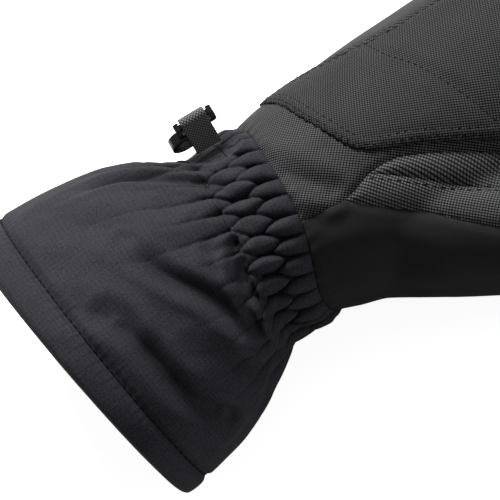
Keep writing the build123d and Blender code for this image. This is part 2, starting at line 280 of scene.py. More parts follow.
# adds edges where field is zero. Points that are close to the line are moved onto it
def cutAlong(bm, field, where=None):
    bm.verts.index_update()
    corners = list(bm.verts)
    points = np.array([v.co[:] for v in corners])
    value = field(points)
    active = np.ones(len(points), bool) if where is None else where(points)
    edges = list(bm.edges)
    ends = np.array([(e.verts[0].index, e.verts[1].index) for e in edges])
    a, b = ends.T
    crossing = (value[a] * value[b] < 0) & active[a] & active[b]
    share = value[a] / np.where(crossing, value[a] - value[b], 1)
    onLine = set()
    for k in np.nonzero(crossing & ((share < 0.2) | (share > 0.8)))[0]:
        near, far = (a[k], b[k]) if share[k] < 0.5 else (b[k], a[k])
        if near in onLine or far in onLine:
            continue
        t = value[near] / (value[near] - value[far])
        corners[near].co = Vector(points[near] + t * (points[far] - points[near]))
        value[near] = 0
        onLine.add(near)
    marked = [corners[k] for k in onLine]
    for k in np.nonzero(crossing)[0]:
        va, vb = value[a[k]], value[b[k]]
        if va * vb >= 0:
            continue
        made = bmesh.utils.edge_split(edges[k], corners[a[k]], va / (va - vb))[1]
        marked.append(made)
    bmesh.ops.connect_verts(bm, verts=marked)


# lines over a mesh where value passes through level
def isoLines(points, faces, value, level):
    cross = {}
    links = {}
    for face in faces:
        hits = []
        for i, j in zip(face, face[1:] + face[:1]):
            u, v = value[i] - level, value[j] - level
            if u * v < 0:
                key = (min(i, j), max(i, j))
                if key not in cross:
                    cross[key] = points[i] + (points[j] - points[i]) * (u / (u - v))
                hits.append(key)
        if len(hits) == 2:
            links.setdefault(hits[0], []).append(hits[1])
            links.setdefault(hits[1], []).append(hits[0])
    lines = []
    left = set(links)
    starts = [k for k in links if len(links[k]) == 1] + list(links)
    for start in starts:
        if start not in left:
            continue
        line = [start]
        left.discard(start)
        while True:
            onward = [k for k in links[line[-1]] if k in left]
            if not onward:
                break
            line.append(onward[0])
            left.discard(onward[0])
        if len(line) > 3:
            if line[0] in links[line[-1]]:
                line.append(line[0])
            lines.append(np.array([cross[k] for k in line]))
    return lines


# points along a line at equal spacing
def evenly(line, step):
    gaps = np.linalg.norm(np.diff(line, axis=0), axis=1)
    run = np.concatenate([[0], np.cumsum(gaps)])
    count = max(2, int(run[-1] / step))
    at = np.linspace(0, run[-1], count + 1)
    return np.stack([np.interp(at, run, line[:, k]) for k in range(3)], 1)


def softened(line, rounds=2):
    for _ in range(rounds):
        line = np.concatenate([line[:1], (line[:-2] + 2 * line[1:-1] + line[2:]) / 4, line[-1:]])
    return line


# smooth seeded unevenness, about -1 to 1
def roughness(points, scale, seed):
    shift = Vector((seed * 17.3, seed * 5.1, seed * 9.7))
    return np.array([noise.noise(Vector(p) / scale + shift) for p in points])


# materials
def addNode(tree, kind, sockets=None, **settings):
    made = tree.nodes.new("ShaderNode" + kind)
    for key, value in settings.items():
        setattr(made, key, value)
    for key, value in (sockets or {}).items():
        if isinstance(value, bpy.types.NodeSocket):
            tree.links.new(value, made.inputs[key])
        else:
            made.inputs[key].default_value = value
    return made


def calc(tree, operation, *values):
    made = tree.nodes.new("ShaderNodeMath")
    made.operation = operation
    for k, value in enumerate(values):
        if isinstance(value, bpy.types.NodeSocket):
            tree.links.new(value, made.inputs[k])
        else:
            made.inputs[k].default_value = value
    return made.outputs[0]


def newGroup(name, inputs, outputs):
    group = bpy.data.node_groups.new(name, "ShaderNodeTree")
    for label, kind, value in inputs:
        made = group.interface.new_socket(label, in_out="INPUT", socket_type="NodeSocket" + kind)
        if value is not None:
            made.default_value = value
    for label, kind in outputs:
        group.interface.new_socket(label, in_out="OUTPUT", socket_type="NodeSocket" + kind)
    return group, group.nodes.new("NodeGroupInput"), group.nodes.new("NodeGroupOutput")


# the weave map in mm, turned in the cloth
def weavePoint(group, turn):
    place = addNode(group, "UVMap", uv_map="weave")
    turned = addNode(
        group, "VectorRotate", {"Vector": place.outputs[0], "Angle": turn}, rotation_type="Z_AXIS"
    )
    return addNode(group, "SeparateXYZ", {"Vector": turned.outputs[0]}).outputs


# place within a repeating cell, from -0.5 to 0.5
def cellPlace(tree, value, pitch):
    return calc(tree, "SUBTRACT", calc(tree, "FRACT", calc(tree, "DIVIDE", value, pitch)), 0.5)


# a grid of raised light dots on dark ground
def makeDobbyGroup():
    group, given, put = newGroup(
        "dobbyWeave",
        [
            ("Pitch", "Float", 1.0),
            ("Row Pitch", "Float", 0.9),
            ("Turn", "Float", 0.0),
            ("Uneven", "Float", 0.2),
        ],
        [("Dots", "Float"), ("Height", "Float"), ("Cloudy", "Float")],
    )
    x, y = weavePoint(group, given.outputs["Turn"])[:2]
    wide = cellPlace(group, x, given.outputs["Pitch"])
    high = cellPlace(group, y, given.outputs["Row Pitch"])
    a = calc(group, "POWER", calc(group, "DIVIDE", calc(group, "ABSOLUTE", wide), 0.41), 2.6)
    b = calc(group, "POWER", calc(group, "DIVIDE", calc(group, "ABSOLUTE", high), 0.33), 2.6)
    gap = calc(group, "ADD", a, b)
    place = addNode(group, "TexCoord").outputs["Object"]
    fine = addNode(group, "TexNoise", {"Vector": place, "Scale": 900.0, "Detail": 2.0})
    cloudy = addNode(group, "TexNoise", {"Vector": place, "Scale": 60.0, "Detail": 3.0})
    shake = calc(group, "SUBTRACT", fine.outputs[0], 0.5)
    shaken = calc(group, "MULTIPLY_ADD", shake, given.outputs["Uneven"], gap)
    dots = addNode(
        group, "MapRange", {"Value": shaken, "From Min": 0.45, "From Max": 1.25, "To Min": 1.0, "To Max": 0.0}
    )
    group.links.new(dots.outputs[0], put.inputs["Dots"])
    group.links.new(dots.outputs[0], put.inputs["Height"])
    group.links.new(cloudy.outputs[0], put.inputs["Cloudy"])
    return group


# fine plain weave with a heavier thread at each line of a grid
def makeRipstopGroup():
    group, given, put = newGroup(
        "ripstopWeave",
        [("Square", "Float", 1.6), ("Thread", "Float", 0.34), ("Turn", "Float", 0.0)],
        [("Shade", "Float"), ("Height", "Float"), ("Cloudy", "Float")],
    )
    x, y = weavePoint(group, given.outputs["Turn"])[:2]
    place = addNode(group, "TexCoord").outputs["Object"]
    wobble = addNode(group, "TexNoise", {"Vector": place, "Scale": 240.0, "Detail": 2.0})
    off = calc(group, "MULTIPLY", calc(group, "SUBTRACT", wobble.outputs[0], 0.5), 0.15)
    lines, threads = [], []
    for axis in (x, y):
        moved = calc(group, "ADD", axis, off)
        fromLine = calc(group, "ABSOLUTE", cellPlace(group, moved, given.outputs["Square"]))
        line = addNode(
            group,
            "MapRange",
            {"Value": fromLine, "From Min": 0.0, "From Max": 0.11, "To Min": 1.0, "To Max": 0.0},
        )
        lines.append(line.outputs[0])
        counted = calc(group, "DIVIDE", moved, given.outputs["Thread"])
        threads.append(calc(group, "SINE", calc(group, "MULTIPLY", counted, 6.283)))
    grid = calc(group, "MAXIMUM", *lines)
    thread = calc(group, "MULTIPLY", *threads)
    fine = addNode(group, "TexNoise", {"Vector": place, "Scale": 2300.0, "Detail": 1.0, "Roughness": 0.6})
    cloudy = addNode(group, "TexNoise", {"Vector": place, "Scale": 55.0, "Detail": 4.0})
    speck = calc(group, "MULTIPLY", calc(group, "SUBTRACT", fine.outputs[0], 0.5), 2.3)
    shade = calc(group, "ADD", calc(group, "MULTIPLY", grid, -0.36), speck)
    height = calc(group, "ADD", calc(group, "MULTIPLY", thread, 0.25), calc(group, "MULTIPLY", grid, 0.5))
    group.links.new(shade, put.inputs["Shade"])
    group.links.new(height, put.inputs["Height"])
    group.links.new(cloudy.outputs[0], put.inputs["Cloudy"])
    return group


# fine even nap with faint clouding
def makeFeltGroup():
    group, given, put = newGroup(
        "fineNap",
        [("Size", "Float", 1200.0), ("Cloud Size", "Float", 45.0)],
        [("Shade", "Float"), ("Height", "Float"), ("Cloudy", "Float")],
    )
    place = addNode(group, "TexCoord").outputs["Object"]
    fine = addNode(group, "TexNoise", {"Vector": place, "Scale": given.outputs["Size"], "Detail": 3.0})
    cloudSize = given.outputs["Cloud Size"]
    cloudy = addNode(group, "TexNoise", {"Vector": place, "Scale": cloudSize, "Detail": 3.0})
    group.links.new(calc(group, "SUBTRACT", fine.outputs[0], 0.5), put.inputs["Shade"])
    group.links.new(fine.outputs[0], put.inputs["Height"])
    group.links.new(cloudy.outputs[0], put.inputs["Cloudy"])
    return group


# leather grain: rounded cells with creases between
def makeGrainGroup():
    group, given, put = newGroup(
        "leatherGrain", [("Size", "Float", 700.0)], [("Shade", "Float"), ("Height", "Float")]
    )
    place = addNode(group, "TexCoord").outputs["Object"]
    cells = addNode(
        group, "TexVoronoi", {"Vector": place, "Scale": given.outputs["Size"]}, feature="DISTANCE_TO_EDGE"
    )
    crease = addNode(
        group, "MapRange", {"Value": cells.outputs["Distance"], "From Min": 0.0, "From Max": 0.25}
    )
    fine = addNode(group, "TexNoise", {"Vector": place, "Scale": 160.0, "Detail": 4.0})
    group.links.new(calc(group, "SUBTRACT", fine.outputs[0], 0.5), put.inputs["Shade"])
    group.links.new(crease.outputs[0], put.inputs["Height"])
    return group


# diamond weave for webbing: two tones on a slanted grid
def makeWebbingGroup():
    group, given, put = newGroup(
        "webbingWeave", [("Pitch", "Float", 1.25)], [("Shade", "Float"), ("Height", "Float")]
    )
    x, y = weavePoint(group, 0.0)[:2]
    waves = []
    for slant in (calc(group, "ADD", x, y), calc(group, "SUBTRACT", x, y)):
        turn = calc(group, "MULTIPLY", calc(group, "DIVIDE", slant, given.outputs["Pitch"]), 3.1416)
        waves.append(calc(group, "ABSOLUTE", calc(group, "SINE", turn)))
    knot = calc(group, "MULTIPLY", *waves)
    group.links.new(calc(group, "SUBTRACT", knot, 0.45), put.inputs["Shade"])
    group.links.new(knot, put.inputs["Height"])
    return group


groups = {
    "dobby": makeDobbyGroup(),
    "ripstop": makeRipstopGroup(),
    "felt": makeFeltGroup(),
    "grain": makeGrainGroup(),
    "webbing": makeWebbingGroup(),
}


def startMaterial(name):
    material = bpy.data.materials.new(name)
    material.use_nodes = True
    tree = material.node_tree
    return material, tree, tree.nodes["Principled BSDF"]


# the colour made lighter or darker by each (value, strength)
def shaded(tree, colour, *shades):
    total = None
    for value, strength in shades:
        part = calc(tree, "MULTIPLY", value, strength)
        total = part if total is None else calc(tree, "ADD", total, part)
    factor = calc(tree, "ADD", total, 1.0)
    mixed = addNode(tree, "VectorMath", {0: colour[:3]}, operation="SCALE")
    tree.links.new(factor, mixed.inputs["Scale"])
    return mixed.outputs[0]


def bumped(tree, shader, height, distance, strength=1.0):
    bump = addNode(tree, "Bump", {"Height": height, "Distance": distance, "Strength": strength})
    tree.links.new(bump.outputs[0], shader.inputs["Normal"])


def dobbyMaterial(name, light, dark, pitch, rowPitch, turn, sheen=0.04):
    material, tree, shader = startMaterial(name)
    weave = addNode(tree, "Group", node_tree=groups["dobby"])
    weave.inputs["Pitch"].default_value = pitch
    weave.inputs["Row Pitch"].default_value = rowPitch
    weave.inputs["Turn"].default_value = math.radians(turn)
    mixed = addNode(tree, "Mix", data_type="RGBA")
    mixed.inputs[6].default_value = (*dark, 1.0)
    mixed.inputs[7].default_value = (*light, 1.0)
    tree.links.new(weave.outputs["Dots"], mixed.inputs[0])
    cloudy = calc(tree, "MULTIPLY_ADD", weave.outputs["Cloudy"], 0.35, 0.82)
    final = addNode(tree, "VectorMath", {0: mixed.outputs[2]}, operation="SCALE")
    tree.links.new(cloudy, final.inputs["Scale"])
    tree.links.new(final.outputs[0], shader.inputs["Base Color"])
    shader.inputs["Roughness"].default_value = 0.7
    shader.inputs["Specular IOR Level"].default_value = 0.15
    shader.inputs["Sheen Weight"].default_value = sheen
    shader.inputs["Sheen Roughness"].default_value = 0.5
    bumped(tree, shader, weave.outputs["Height"], 0.00022, 0.9)
    return material


def ripstopMaterial(name, colour):
    material, tree, shader = startMaterial(name)
    weave = addNode(tree, "Group", node_tree=groups["ripstop"])
    cloudy = calc(tree, "SUBTRACT", weave.outputs["Cloudy"], 0.5)
    result = shaded(tree, colour, (weave.outputs["Shade"], 1.0), (cloudy, 0.35))
    crease = addNode(tree, "AmbientOcclusion", {"Distance": 0.006})  # painted shade: ambient occlusion darkens the colour down in the gathers and other creases
    depth = calc(tree, "POWER", crease.outputs["AO"], 1.5)
    # the cloth's colour with painted shade in its creases, multiplied in before it reaches Base Color
    paintedShadeColour = addNode(tree, "VectorMath", {0: result}, operation="SCALE")
    tree.links.new(depth, paintedShadeColour.inputs["Scale"])
    tree.links.new(paintedShadeColour.outputs[0], shader.inputs["Base Color"])
    shader.inputs["Roughness"].default_value = 0.75
    shader.inputs["Specular IOR Level"].default_value = 0.12
    shader.inputs["Sheen Weight"].default_value = 0.05
    shader.inputs["Sheen Roughness"].default_value = 0.45
    bumped(tree, shader, weave.outputs["Height"], 0.00006, 0.7)
    return material


def napMaterial(name, colour, roughness=0.8, bump=0.00005, sheen=0.1, speck=0.5):
    material, tree, shader = startMaterial(name)
    nap = addNode(tree, "Group", node_tree=groups["felt"])
    cloudy = calc(tree, "SUBTRACT", nap.outputs["Cloudy"], 0.5)
    result = shaded(tree, colour, (nap.outputs["Shade"], speck), (cloudy, 0.3))
    tree.links.new(result, shader.inputs["Base Color"])
    shader.inputs["Roughness"].default_value = roughness
    shader.inputs["Specular IOR Level"].default_value = 0.2
    shader.inputs["Sheen Weight"].default_value = sheen
    bumped(tree, shader, nap.outputs["Height"], bump, 0.8)
    return material


def leatherMaterial(name, colour, roughness, size):
    material, tree, shader = startMaterial(name)
    grain = addNode(tree, "Group", node_tree=groups["grain"])
    grain.inputs["Size"].default_value = size
    tree.links.new(shaded(tree, colour, (grain.outputs["Shade"], 0.4)), shader.inputs["Base Color"])
    shader.inputs["Roughness"].default_value = roughness
    bumped(tree, shader, grain.outputs["Height"], 0.00012, 0.6)
    return material


def webbingMaterial(name, colour):
    material, tree, shader = startMaterial(name)
    weave = addNode(tree, "Group", node_tree=groups["webbing"])
    tree.links.new(shaded(tree, colour, (weave.outputs["Shade"], 1.6)), shader.inputs["Base Color"])
    shader.inputs["Roughness"].default_value = 0.85
    shader.inputs["Specular IOR Level"].default_value = 0.12
    bumped(tree, shader, weave.outputs["Height"], 0.00025, 0.8)
    return material


def hardMaterial(name, colour, roughness, metallic=0.0, coat=0.0):
    material, tree, shader = startMaterial(name)
    place = addNode(tree, "TexCoord").outputs["Object"]
    scuff = addNode(tree, "TexNoise", {"Vector": place, "Scale": 400.0, "Detail": 4.0})
    shader.inputs["Base Color"].default_value = (*colour, 1.0)
    rough = calc(tree, "MULTIPLY_ADD", scuff.outputs[0], 0.15, roughness)
    tree.links.new(rough, shader.inputs["Roughness"])
    shader.inputs["Metallic"].default_value = metallic
    shader.inputs["Coat Weight"].default_value = coat
    bumped(tree, shader, scuff.outputs[0], 0.00003, 0.3)
    return material


cloth = {
    # light dots, dark ground, pitch and row pitch in mm, degrees turned
    "dobbyBack": dobbyMaterial("dobbyBack", (0.110, 0.110, 0.112), (0.0016, 0.0016, 0.0017), 1.0, 0.92, 37),
    "dobbyOverlay": dobbyMaterial(
        "dobbyOverlay", (0.074, 0.0725, 0.075), (0.0012, 0.0012, 0.0013), 0.92, 0.84, 24
    ),
    "dobbyThumb": dobbyMaterial("dobbyThumb", (0.15, 0.15, 0.152), (0.008, 0.008, 0.0085), 1.0, 0.9, 10),
    "ripstop": ripstopMaterial("ripstop", (0.0300, 0.0289, 0.0372)),
    "sideWeave": napMaterial("sideWeave", (0.035, 0.035, 0.037), 0.75, 0.0001),
    "softshell": napMaterial("softshell", (0.0165, 0.0165, 0.0167), 0.88, 0.00004, 0.03, 0.5),
    "palmLeather": leatherMaterial("palmLeather", (0.012, 0.012, 0.012), 0.5, 700.0),
    "patchLeather": leatherMaterial("patchLeather", (0.016, 0.016, 0.017), 0.42, 420.0),
    "wadding": napMaterial("wadding", (0.55, 0.55, 0.53), 0.95, 0.0004),
    "film": napMaterial("film", (0.45, 0.47, 0.5), 0.35, 0.00003, 0.0),
    "lining": napMaterial("lining", (0.016, 0.016, 0.018), 0.95, 0.0005, 0.4),
    "cuffLining": napMaterial("cuffLining", (0.02, 0.02, 0.023), 0.7, 0.00008, 0.2),
    "elastic": napMaterial("elastic", (0.3, 0.3, 0.3), 0.8, 0.0002),
    "webbing": webbingMaterial("webbing", (0.15, 0.15, 0.152)),
    "clipPlastic": hardMaterial("clipPlastic", (0.012, 0.012, 0.013), 0.16, coat=0.5),
    "pinSteel": hardMaterial("pinSteel", (0.55, 0.55, 0.56), 0.28, metallic=1.0),
    "thread": napMaterial("thread", (0.004, 0.004, 0.005), 0.85, 0.00002, 0.0),
}
print("materials made")


# pieces
# a finished piece: mesh, weave map, material, and what it stands for in the frame
def addPiece(name, points, faces, material, nodes=(), uv=None, body="mitten"):
    mesh = bpy.data.meshes.new(name)
    mesh.from_pydata((np.asarray(points) * 0.001).tolist(), [], [tuple(map(int, f)) for f in faces])
    mesh.validate()
    if uv is not None:
        layer = mesh.uv_layers.new(name="weave")
        corner = np.empty(len(mesh.loops), int)
        mesh.loops.foreach_get("vertex_index", corner)
        layer.data.foreach_set("uv", np.asarray(uv)[corner].ravel())
    mesh.polygons.foreach_set("use_smooth", [True] * len(mesh.polygons))
    mesh.materials.append(cloth[material])
    piece = bpy.data.objects.new(name, mesh)
    bpy.context.scene.collection.objects.link(piece)
    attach(piece, body)
    if nodes:
        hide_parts(*nodes)
    return piece


# points and faces of the solid between two matching grids of points
def shellMesh(outer, inner, closed):
    rows, columns = outer.shape[:2]
    size = rows * columns
    points = np.concatenate([outer.reshape(-1, 3), inner.reshape(-1, 3)])
    faces = []
    last = columns if closed else columns - 1
    for r in range(rows - 1):
        for c in range(last):
            d = (c + 1) % columns
            quad = (r * columns + c, r * columns + d, (r + 1) * columns + d, (r + 1) * columns + c)
            faces.append(quad)
            faces.append(tuple(size + k for k in reversed(quad)))
    for r, flip in ((0, True), (rows - 1, False)):
        for c in range(last):
            d = (c + 1) % columns
            quad = (r * columns + c, r * columns + d, size + r * columns + d, size + r * columns + c)
            faces.append(quad[::-1] if not flip else quad)
    if not closed:
        for c, flip in ((0, True), (columns - 1, False)):
            for r in range(rows - 1):
                near, far = r * columns + c, (r + 1) * columns + c
                quad = (near, far, size + far, size + near)
                faces.append(quad if not flip else quad[::-1])
    return points, faces


# the same faces, all facing outwards
def turnedOut(points, faces):
    bm = bmesh.new()
    made = [bm.verts.new(p) for p in points]
    for face in faces:
        if len(set(face)) > 2:
            try:
                bm.faces.new([made[k] for k in face])
            except ValueError:
                pass
    bmesh.ops.recalc_face_normals(bm, faces=bm.faces)
    bm.verts.index_update()
    out = [tuple(v.index for v in f.verts) for f in bm.faces]
    bm.free()
    return out


# share along a stitch, its width there and its height, so that both ends dive into the cloth
capsule = (
    (0, 0.3, -0.5),
    (0.12, 0.8, -0.1),
    (0.35, 1, 0.25),
    (0.65, 1, 0.25),
    (0.88, 0.8, -0.1),
    (1, 0.3, -0.5),
)


# collects short lengths of thread, each a small capsule lying on the cloth
class Stitches:
    def __init__(self, length=2.1, gap=0.9, thick=0.42):
        self.length, self.gap, self.thick = length, gap, thick
        self.points, self.faces = [], []

    def row(self, line, normalAt, lift=0.05):
        line = evenly(softened(line), 0.25)
        step = max(2, int(round((self.length + self.gap) / 0.25)))
        run = max(1, int(round(self.length / 0.25)))
        for k in range(0, len(line) - run, step):
            self.add(line[k], line[k + run], line[k + run // 2], normalAt(line[k + run // 2]), lift)

    def add(self, start, end, middle, normal, lift=0.05):
        radius = self.thick / 2
        along = end - start
        size = np.linalg.norm(along)
        if size < 0.2:
            return
        along = along / size
        side = np.cross(along, normal)
        side /= max(np.linalg.norm(side), 1e-9)
        up = np.cross(side, along)
        base = len(self.points)
        for t, wide, high in capsule:
            centre = start + (end - start) * t + 4 * t * (1 - t) * (middle - (start + end) / 2)
            centre = centre + up * (high * radius + lift)
            for s in range(6):
                a = math.pi * s / 3
                self.points.append(centre + radius * wide * (math.cos(a) * side + 0.8 * math.sin(a) * up))
        for f in tubeFaces(6, 6, base):
            self.faces.append(f)

    def finish(self, name):
        return addPiece(name, self.points, self.faces, "thread")


# hand and thumb
hand = {
    "grain": 1.25,  # size of the mesh's faces
    "cloth": 1.3,  # thickness of the panels
    "seamDip": 0.95,
    "seamWidth": 1.5,
    "fill": 0.65,  # how far the panels swell between seams
    "fillWidth": 7.0,
    "rumple": 0.22,
    "floor": 1.25,  # the panels stop at this height, above the palm patch
}
columns = 96
turns = np.linspace(0, 2 * math.pi, columns, endpoint=False)
rings = [surface(np.full(columns, x), turns) for x in (-82.0, -76.0, -70.0)]
rings += [surface(np.full(columns, x), turns) for x in np.linspace(-64.5, 45, 46)]
for angle in range(4, 90, 4):
    reach = math.sin(math.radians(angle)) ** form["domePower"]
    rings.append(surface(np.full(columns, form["palmX"] + form["fingertips"] * reach), turns))
handTube = np.array(rings)
thumbTube = np.array([thumbRing(math.sin(math.radians(a)), 72) for a in range(0, 89, 3)])
skinPoints = np.concatenate([handTube.reshape(-1, 3), thumbTube.reshape(-1, 3)])
skinFaces = tubeFaces(len(handTube), columns)
skinFaces += tubeFaces(len(thumbTube), 72, handTube.shape[0] * columns)
skin, quads = remeshed(skinPoints, turnedOut(skinPoints, skinFaces), hand["grain"])
skinEdges = edgesOf(quads)
skin = relaxed(skin, skinEdges, 4)


# how far points are outside the hand's form, roughly
def handDepth(points):
    side, height, halfWidth, halfHeight, _ = oval(points[:, 0])
    wide = (points[:, 1] - side) / np.maximum(halfWidth, 1)
    high = (points[:, 2] - height) / np.maximum(halfHeight, 1)
    return (np.hypot(wide, high) - 1) * np.minimum(halfWidth, halfHeight)


# share along the thumb, angle round it, and how far outside its form
def thumbPlace(points):
    across, up, along = thumbAxes()
    local = points - np.array(thumb["root"])
    t = np.clip(local @ along / thumb["length"], 0, 1)
    a = local @ across + thumb["bow"] * np.sin(math.pi * t)
    b = local @ up
    wide = thumb["rootHalf"][0] + (thumb["tipHalf"][0] - thumb["rootHalf"][0]) * t
    high = thumb["rootHalf"][1] + (thumb["tipHalf"][1] - thumb["rootHalf"][1]) * t
    return t, np.arctan2(b / high, a / wide), (np.hypot(a / wide, b / high) - 1) * wide


crease = np.exp(-(handDepth(skin) ** 2 + thumbPlace(skin)[2] ** 2) / 5.0**2)
crease[skin[:, 0] < -60] *= 0.5
skin = relaxed(skin, skinEdges, 6, crease)
skin[:, 2] = np.maximum(skin[:, 2], hand["floor"])
print("hand skin", len(skin))

seams = {
    "thumb": (
        (-95, -26.8), (-66, -28.4), (-47.5, -30.4), (-36, -27.5), (-27, -27.4), (-19, -30), (2, -40.5),
        (25, -53),
    ),
    "thumbPart": ((44, -58), (600, -358), (600, -600), (-95, -600)),
    "back": ((-80, 44), (-50, 38.5), (-23, 34), (-2, 30), (15, 29.5), (45, 31), (78, 28), (104, 14),
             (112, -4), (104, -22), (82, -36), (50, -46), (15, -60), (-40, -75), (-90, -70), (-115, 0)),
    "palm": ((-80, 24), (-40, 30), (0, 33), (45, 34), (80, 29), (104, 14), (112, -2), (104, -19), (80, -32),
             (45, -40), (15, -52), (-40, -60), (-90, -50), (-110, -10)),
    "overlay": ((-53, 36), (-48.4, 20), (-45.1, 6.7), (-41, -6.2), (-36.8, -16.2), (-32.4, -20.8),
                (-25.5, -24.2), (-17, -27.4), (0, -36), (24, -45), (52, -41.5), (82, -31), (99, -18),
                (106, -3), (98, 12),
                (78, 24.5), (45, 27.5), (15, 26), (-2, 26.5), (-23, 31), (-40, 35.5)),
    "patch": ((-38, 26), (-42, 0), (-32, -22), (20, -30), (64, -24), (74, 0), (64, 24), (10, 29)),
    "gusset": ((-100, 15), (-100, 600), (-47.5, 600), (-47.5, 63.3), (-30, 55), (26, 38), (26, 15)),
    "thumbTop": ((-47.5, 600), (-47.5, 63.3), (-30, 55), (26, 38), (600, 38), (600, 600)),
    "waist": 36.0,
}


# where the gathers end, which is further back at the sides of the wrist
def seamX(y):
    return -62.5 - 10 * (np.abs(y + 2) / 43) ** 4


inThumb = region(np.concatenate([curveThrough(seams["thumb"]), np.array(seams["thumbPart"], float)]))
inBack = region(curveThrough(seams["back"], True))
inPalm = region(curveThrough(seams["palm"], True))
inOverlay = region(curveThrough(seams["overlay"], True))
inPatch = region(curveThrough(seams["patch"], True))
inGusset = region(seams["gusset"], (0, 2))
inThumbTop = region(seams["thumbTop"], (0, 2))
fall = math.tan(math.radians(thumb["splay"]))


def pastWrist(points):
    return points[:, 0] - seamX(points[:, 1])


def overCrest(points):
    return points[:, 1] - (thumb["root"][1] - fall * (points[:, 0] - thumb["root"][0]))


def above(points):
    return points[:, 2] - seams["waist"]


bm = bmesh.new()
made = [bm.verts.new(p) for p in skin]
for quad in quads:
    bm.faces.new([made[k] for k in quad])
cutAlong(bm, pastWrist)
cutAlong(bm, inThumb, lambda p: p[:, 0] > -80)
cutAlong(bm, above, lambda p: (p[:, 0] < -40) & (p[:, 1] > 0))
cutAlong(bm, inBack, lambda p: (p[:, 2] > seams["waist"] - 1) & (inThumb(p) < 1))
cutAlong(bm, inPalm, lambda p: (p[:, 2] < seams["waist"] + 1) & (inThumb(p) < 1))
cutAlong(bm, inOverlay, lambda p: (p[:, 2] > seams["waist"]) & (inThumb(p) < 1))
cutAlong(bm, inPatch, lambda p: (p[:, 2] < seams["waist"]) & (inThumb(p) < 1))
cutAlong(bm, inThumbTop, lambda p: inThumb(p) > -1)
cutAlong(bm, inGusset, lambda p: inThumb(p) > -1)
cutAlong(bm, overCrest, lambda p: (inThumb(p) > -1) & (p[:, 2] > 40))
bm.verts.index_update()
skin = np.array([v.co[:] for v in bm.verts])
faces = [tuple(v.index for v in f.verts) for f in bm.faces]
bm.free()
centres = np.array([skin[list(f)].mean(axis=0) for f in faces])
print("hand panels cut", len(faces))

# which panel each face belongs to
thumbHere = inThumb(centres) > 0
onTopSide = above(centres) > 0
label = np.where(onTopSide & (inBack(centres) > 0), "handBack", "sideWall").astype(object)
label[~onTopSide & (inPalm(centres) > 0)] = "palmPanel"
label[thumbHere] = "thumbPalm"
label[thumbHere & (inThumbTop(centres) > 0)] = "thumbBack"
label[thumbHere & (inThumbTop(centres) > 0) & (overCrest(centres) > 0)] = "thumbCrest"
label[thumbHere & (inGusset(centres) > 0)] = "wristGusset"
label[pastWrist(centres) < 0] = ""
borders = {}
for k, face in enumerate(faces):
    for a, b in zip(face, face[1:] + face[:1]):
        borders.setdefault((min(a, b), max(a, b)), []).append(label[k])
seamEnds = [key for key, found in borders.items() if len(set(found)) > 1]


# distance of points to a set of edges between source points
def distanceTo(points, ends, source):
    if not len(ends):
        return np.full(len(points), 1e3)
    marks = []
    for a, b in ends:
        for t in (0, 0.5):
            marks.append(source[a] * (1 - t) + source[b] * t)
    tree = KDTree(len(marks))
    for k, mark in enumerate(marks):
        tree.insert(mark, k)
    tree.balance()
    return np.array([tree.find(p)[2] for p in points])


seamGap = distanceTo(skin, seamEnds, skin)

# folds over the hand, as depth, width and points they run through
handFolds = (
    (2.0, 3.2, ((-66, -1, 71), (-59.6, -11, 69.7), (-54.1, -19.5, 68.5), (-49.9, -25.2, 65.7))),
    (-1.1, 3.0, ((-64.3, -18.5, 68.4), (-58.9, -23.6, 66.1), (-52.6, -29.1, 63.6))),
    (0.8, 4.0, ((-62, 16, 67), (-54, 10, 69.5), (-47, 2, 70.5))),
    (0.9, 2.2, ((-11, 28, 64), (-8.2, 12.3, 69.9), (-5, 5.2, 70.8), (-1.9, -1, 71.6), (6, -22, 68),
                (10, -38, 61))),
    (-0.7, 4.0, ((-2, 26, 65), (12, 20, 68), (26, 18, 69))),
    (1.0, 3.5, ((-58, -46, 50), (-40, -52, 44), (-22, -62, 36))),
    (0.8, 4.0, ((-50, -52, 34), (-30, -60, 28), (-8, -70, 24))),
)


# a line's points moved straight onto the plain form
def onForm(line):
    line = np.asarray(line, float)
    x = line[:, 0]
    for _ in range(2):
        side, height, halfWidth, halfHeight, slant = oval(x)
        turn = np.arctan2((line[:, 2] - height) / halfHeight, (line[:, 1] - side) / halfWidth)
        x = line[:, 0] - (surface(x, turn)[:, 0] - x)
    return surface(x, turn, 1.0)


def foldLift(points, folds):
    total = np.zeros(len(points))
    for depth, width, line in folds:
        curve = curveThrough(onForm(line))
        gap = lineDistance(points, curve)
        if curve[0, 0] > curve[-1, 0]:
            curve = curve[::-1]
        farEnd, nearEnd = lineDistance(points, curve[:2]), lineDistance(points, curve[-2:])
        depth = depth * smooth(farEnd, -3, 20) * smooth(nearEnd, -3, 4)
        total -= depth * np.exp(-((gap / width) ** 1.5))
        total += 0.35 * depth * np.exp(-(((gap - 2.2 * width) / (1.0 * width)) ** 2))
    return total


skinNormals = normalsOf(skin, faces)
lift = 0.35 - hand["seamDip"] * np.exp(-((seamGap / hand["seamWidth"]) ** 2))
lift += hand["fill"] * (1 - np.exp(-((seamGap / hand["fillWidth"]) ** 2)))
calm = 1 - np.exp(-((seamGap / 4) ** 2))
lift += hand["rumple"] * roughness(skin, 16, 1) * calm + hand["rumple"] * 0.5 * roughness(skin, 6, 2) * calm
lift += foldLift(skin, handFolds)
# small pleats run into the wrist seam
fromWrist = np.maximum(pastWrist(skin), 0)
around = np.arctan2((skin[:, 2] - 39) / 32, (skin[:, 1] + 2) / 41.5)
lift -= 0.28 * np.exp(-fromWrist / 3.0) * (1 - np.cos(around * 44 + 2 * roughness(skin, 9, 4)))
underneath = skin[:, 2] < 6
lift[underneath] = np.minimum(lift[underneath], 0)
lift = np.maximum(lift, -1.1)  # the cloth's outer face stays above the wadding
skin = skin + skinNormals * lift[:, None]
skin[:, 2] = np.maximum(skin[:, 2], hand["floor"])
skinNormals = normalsOf(skin, faces)

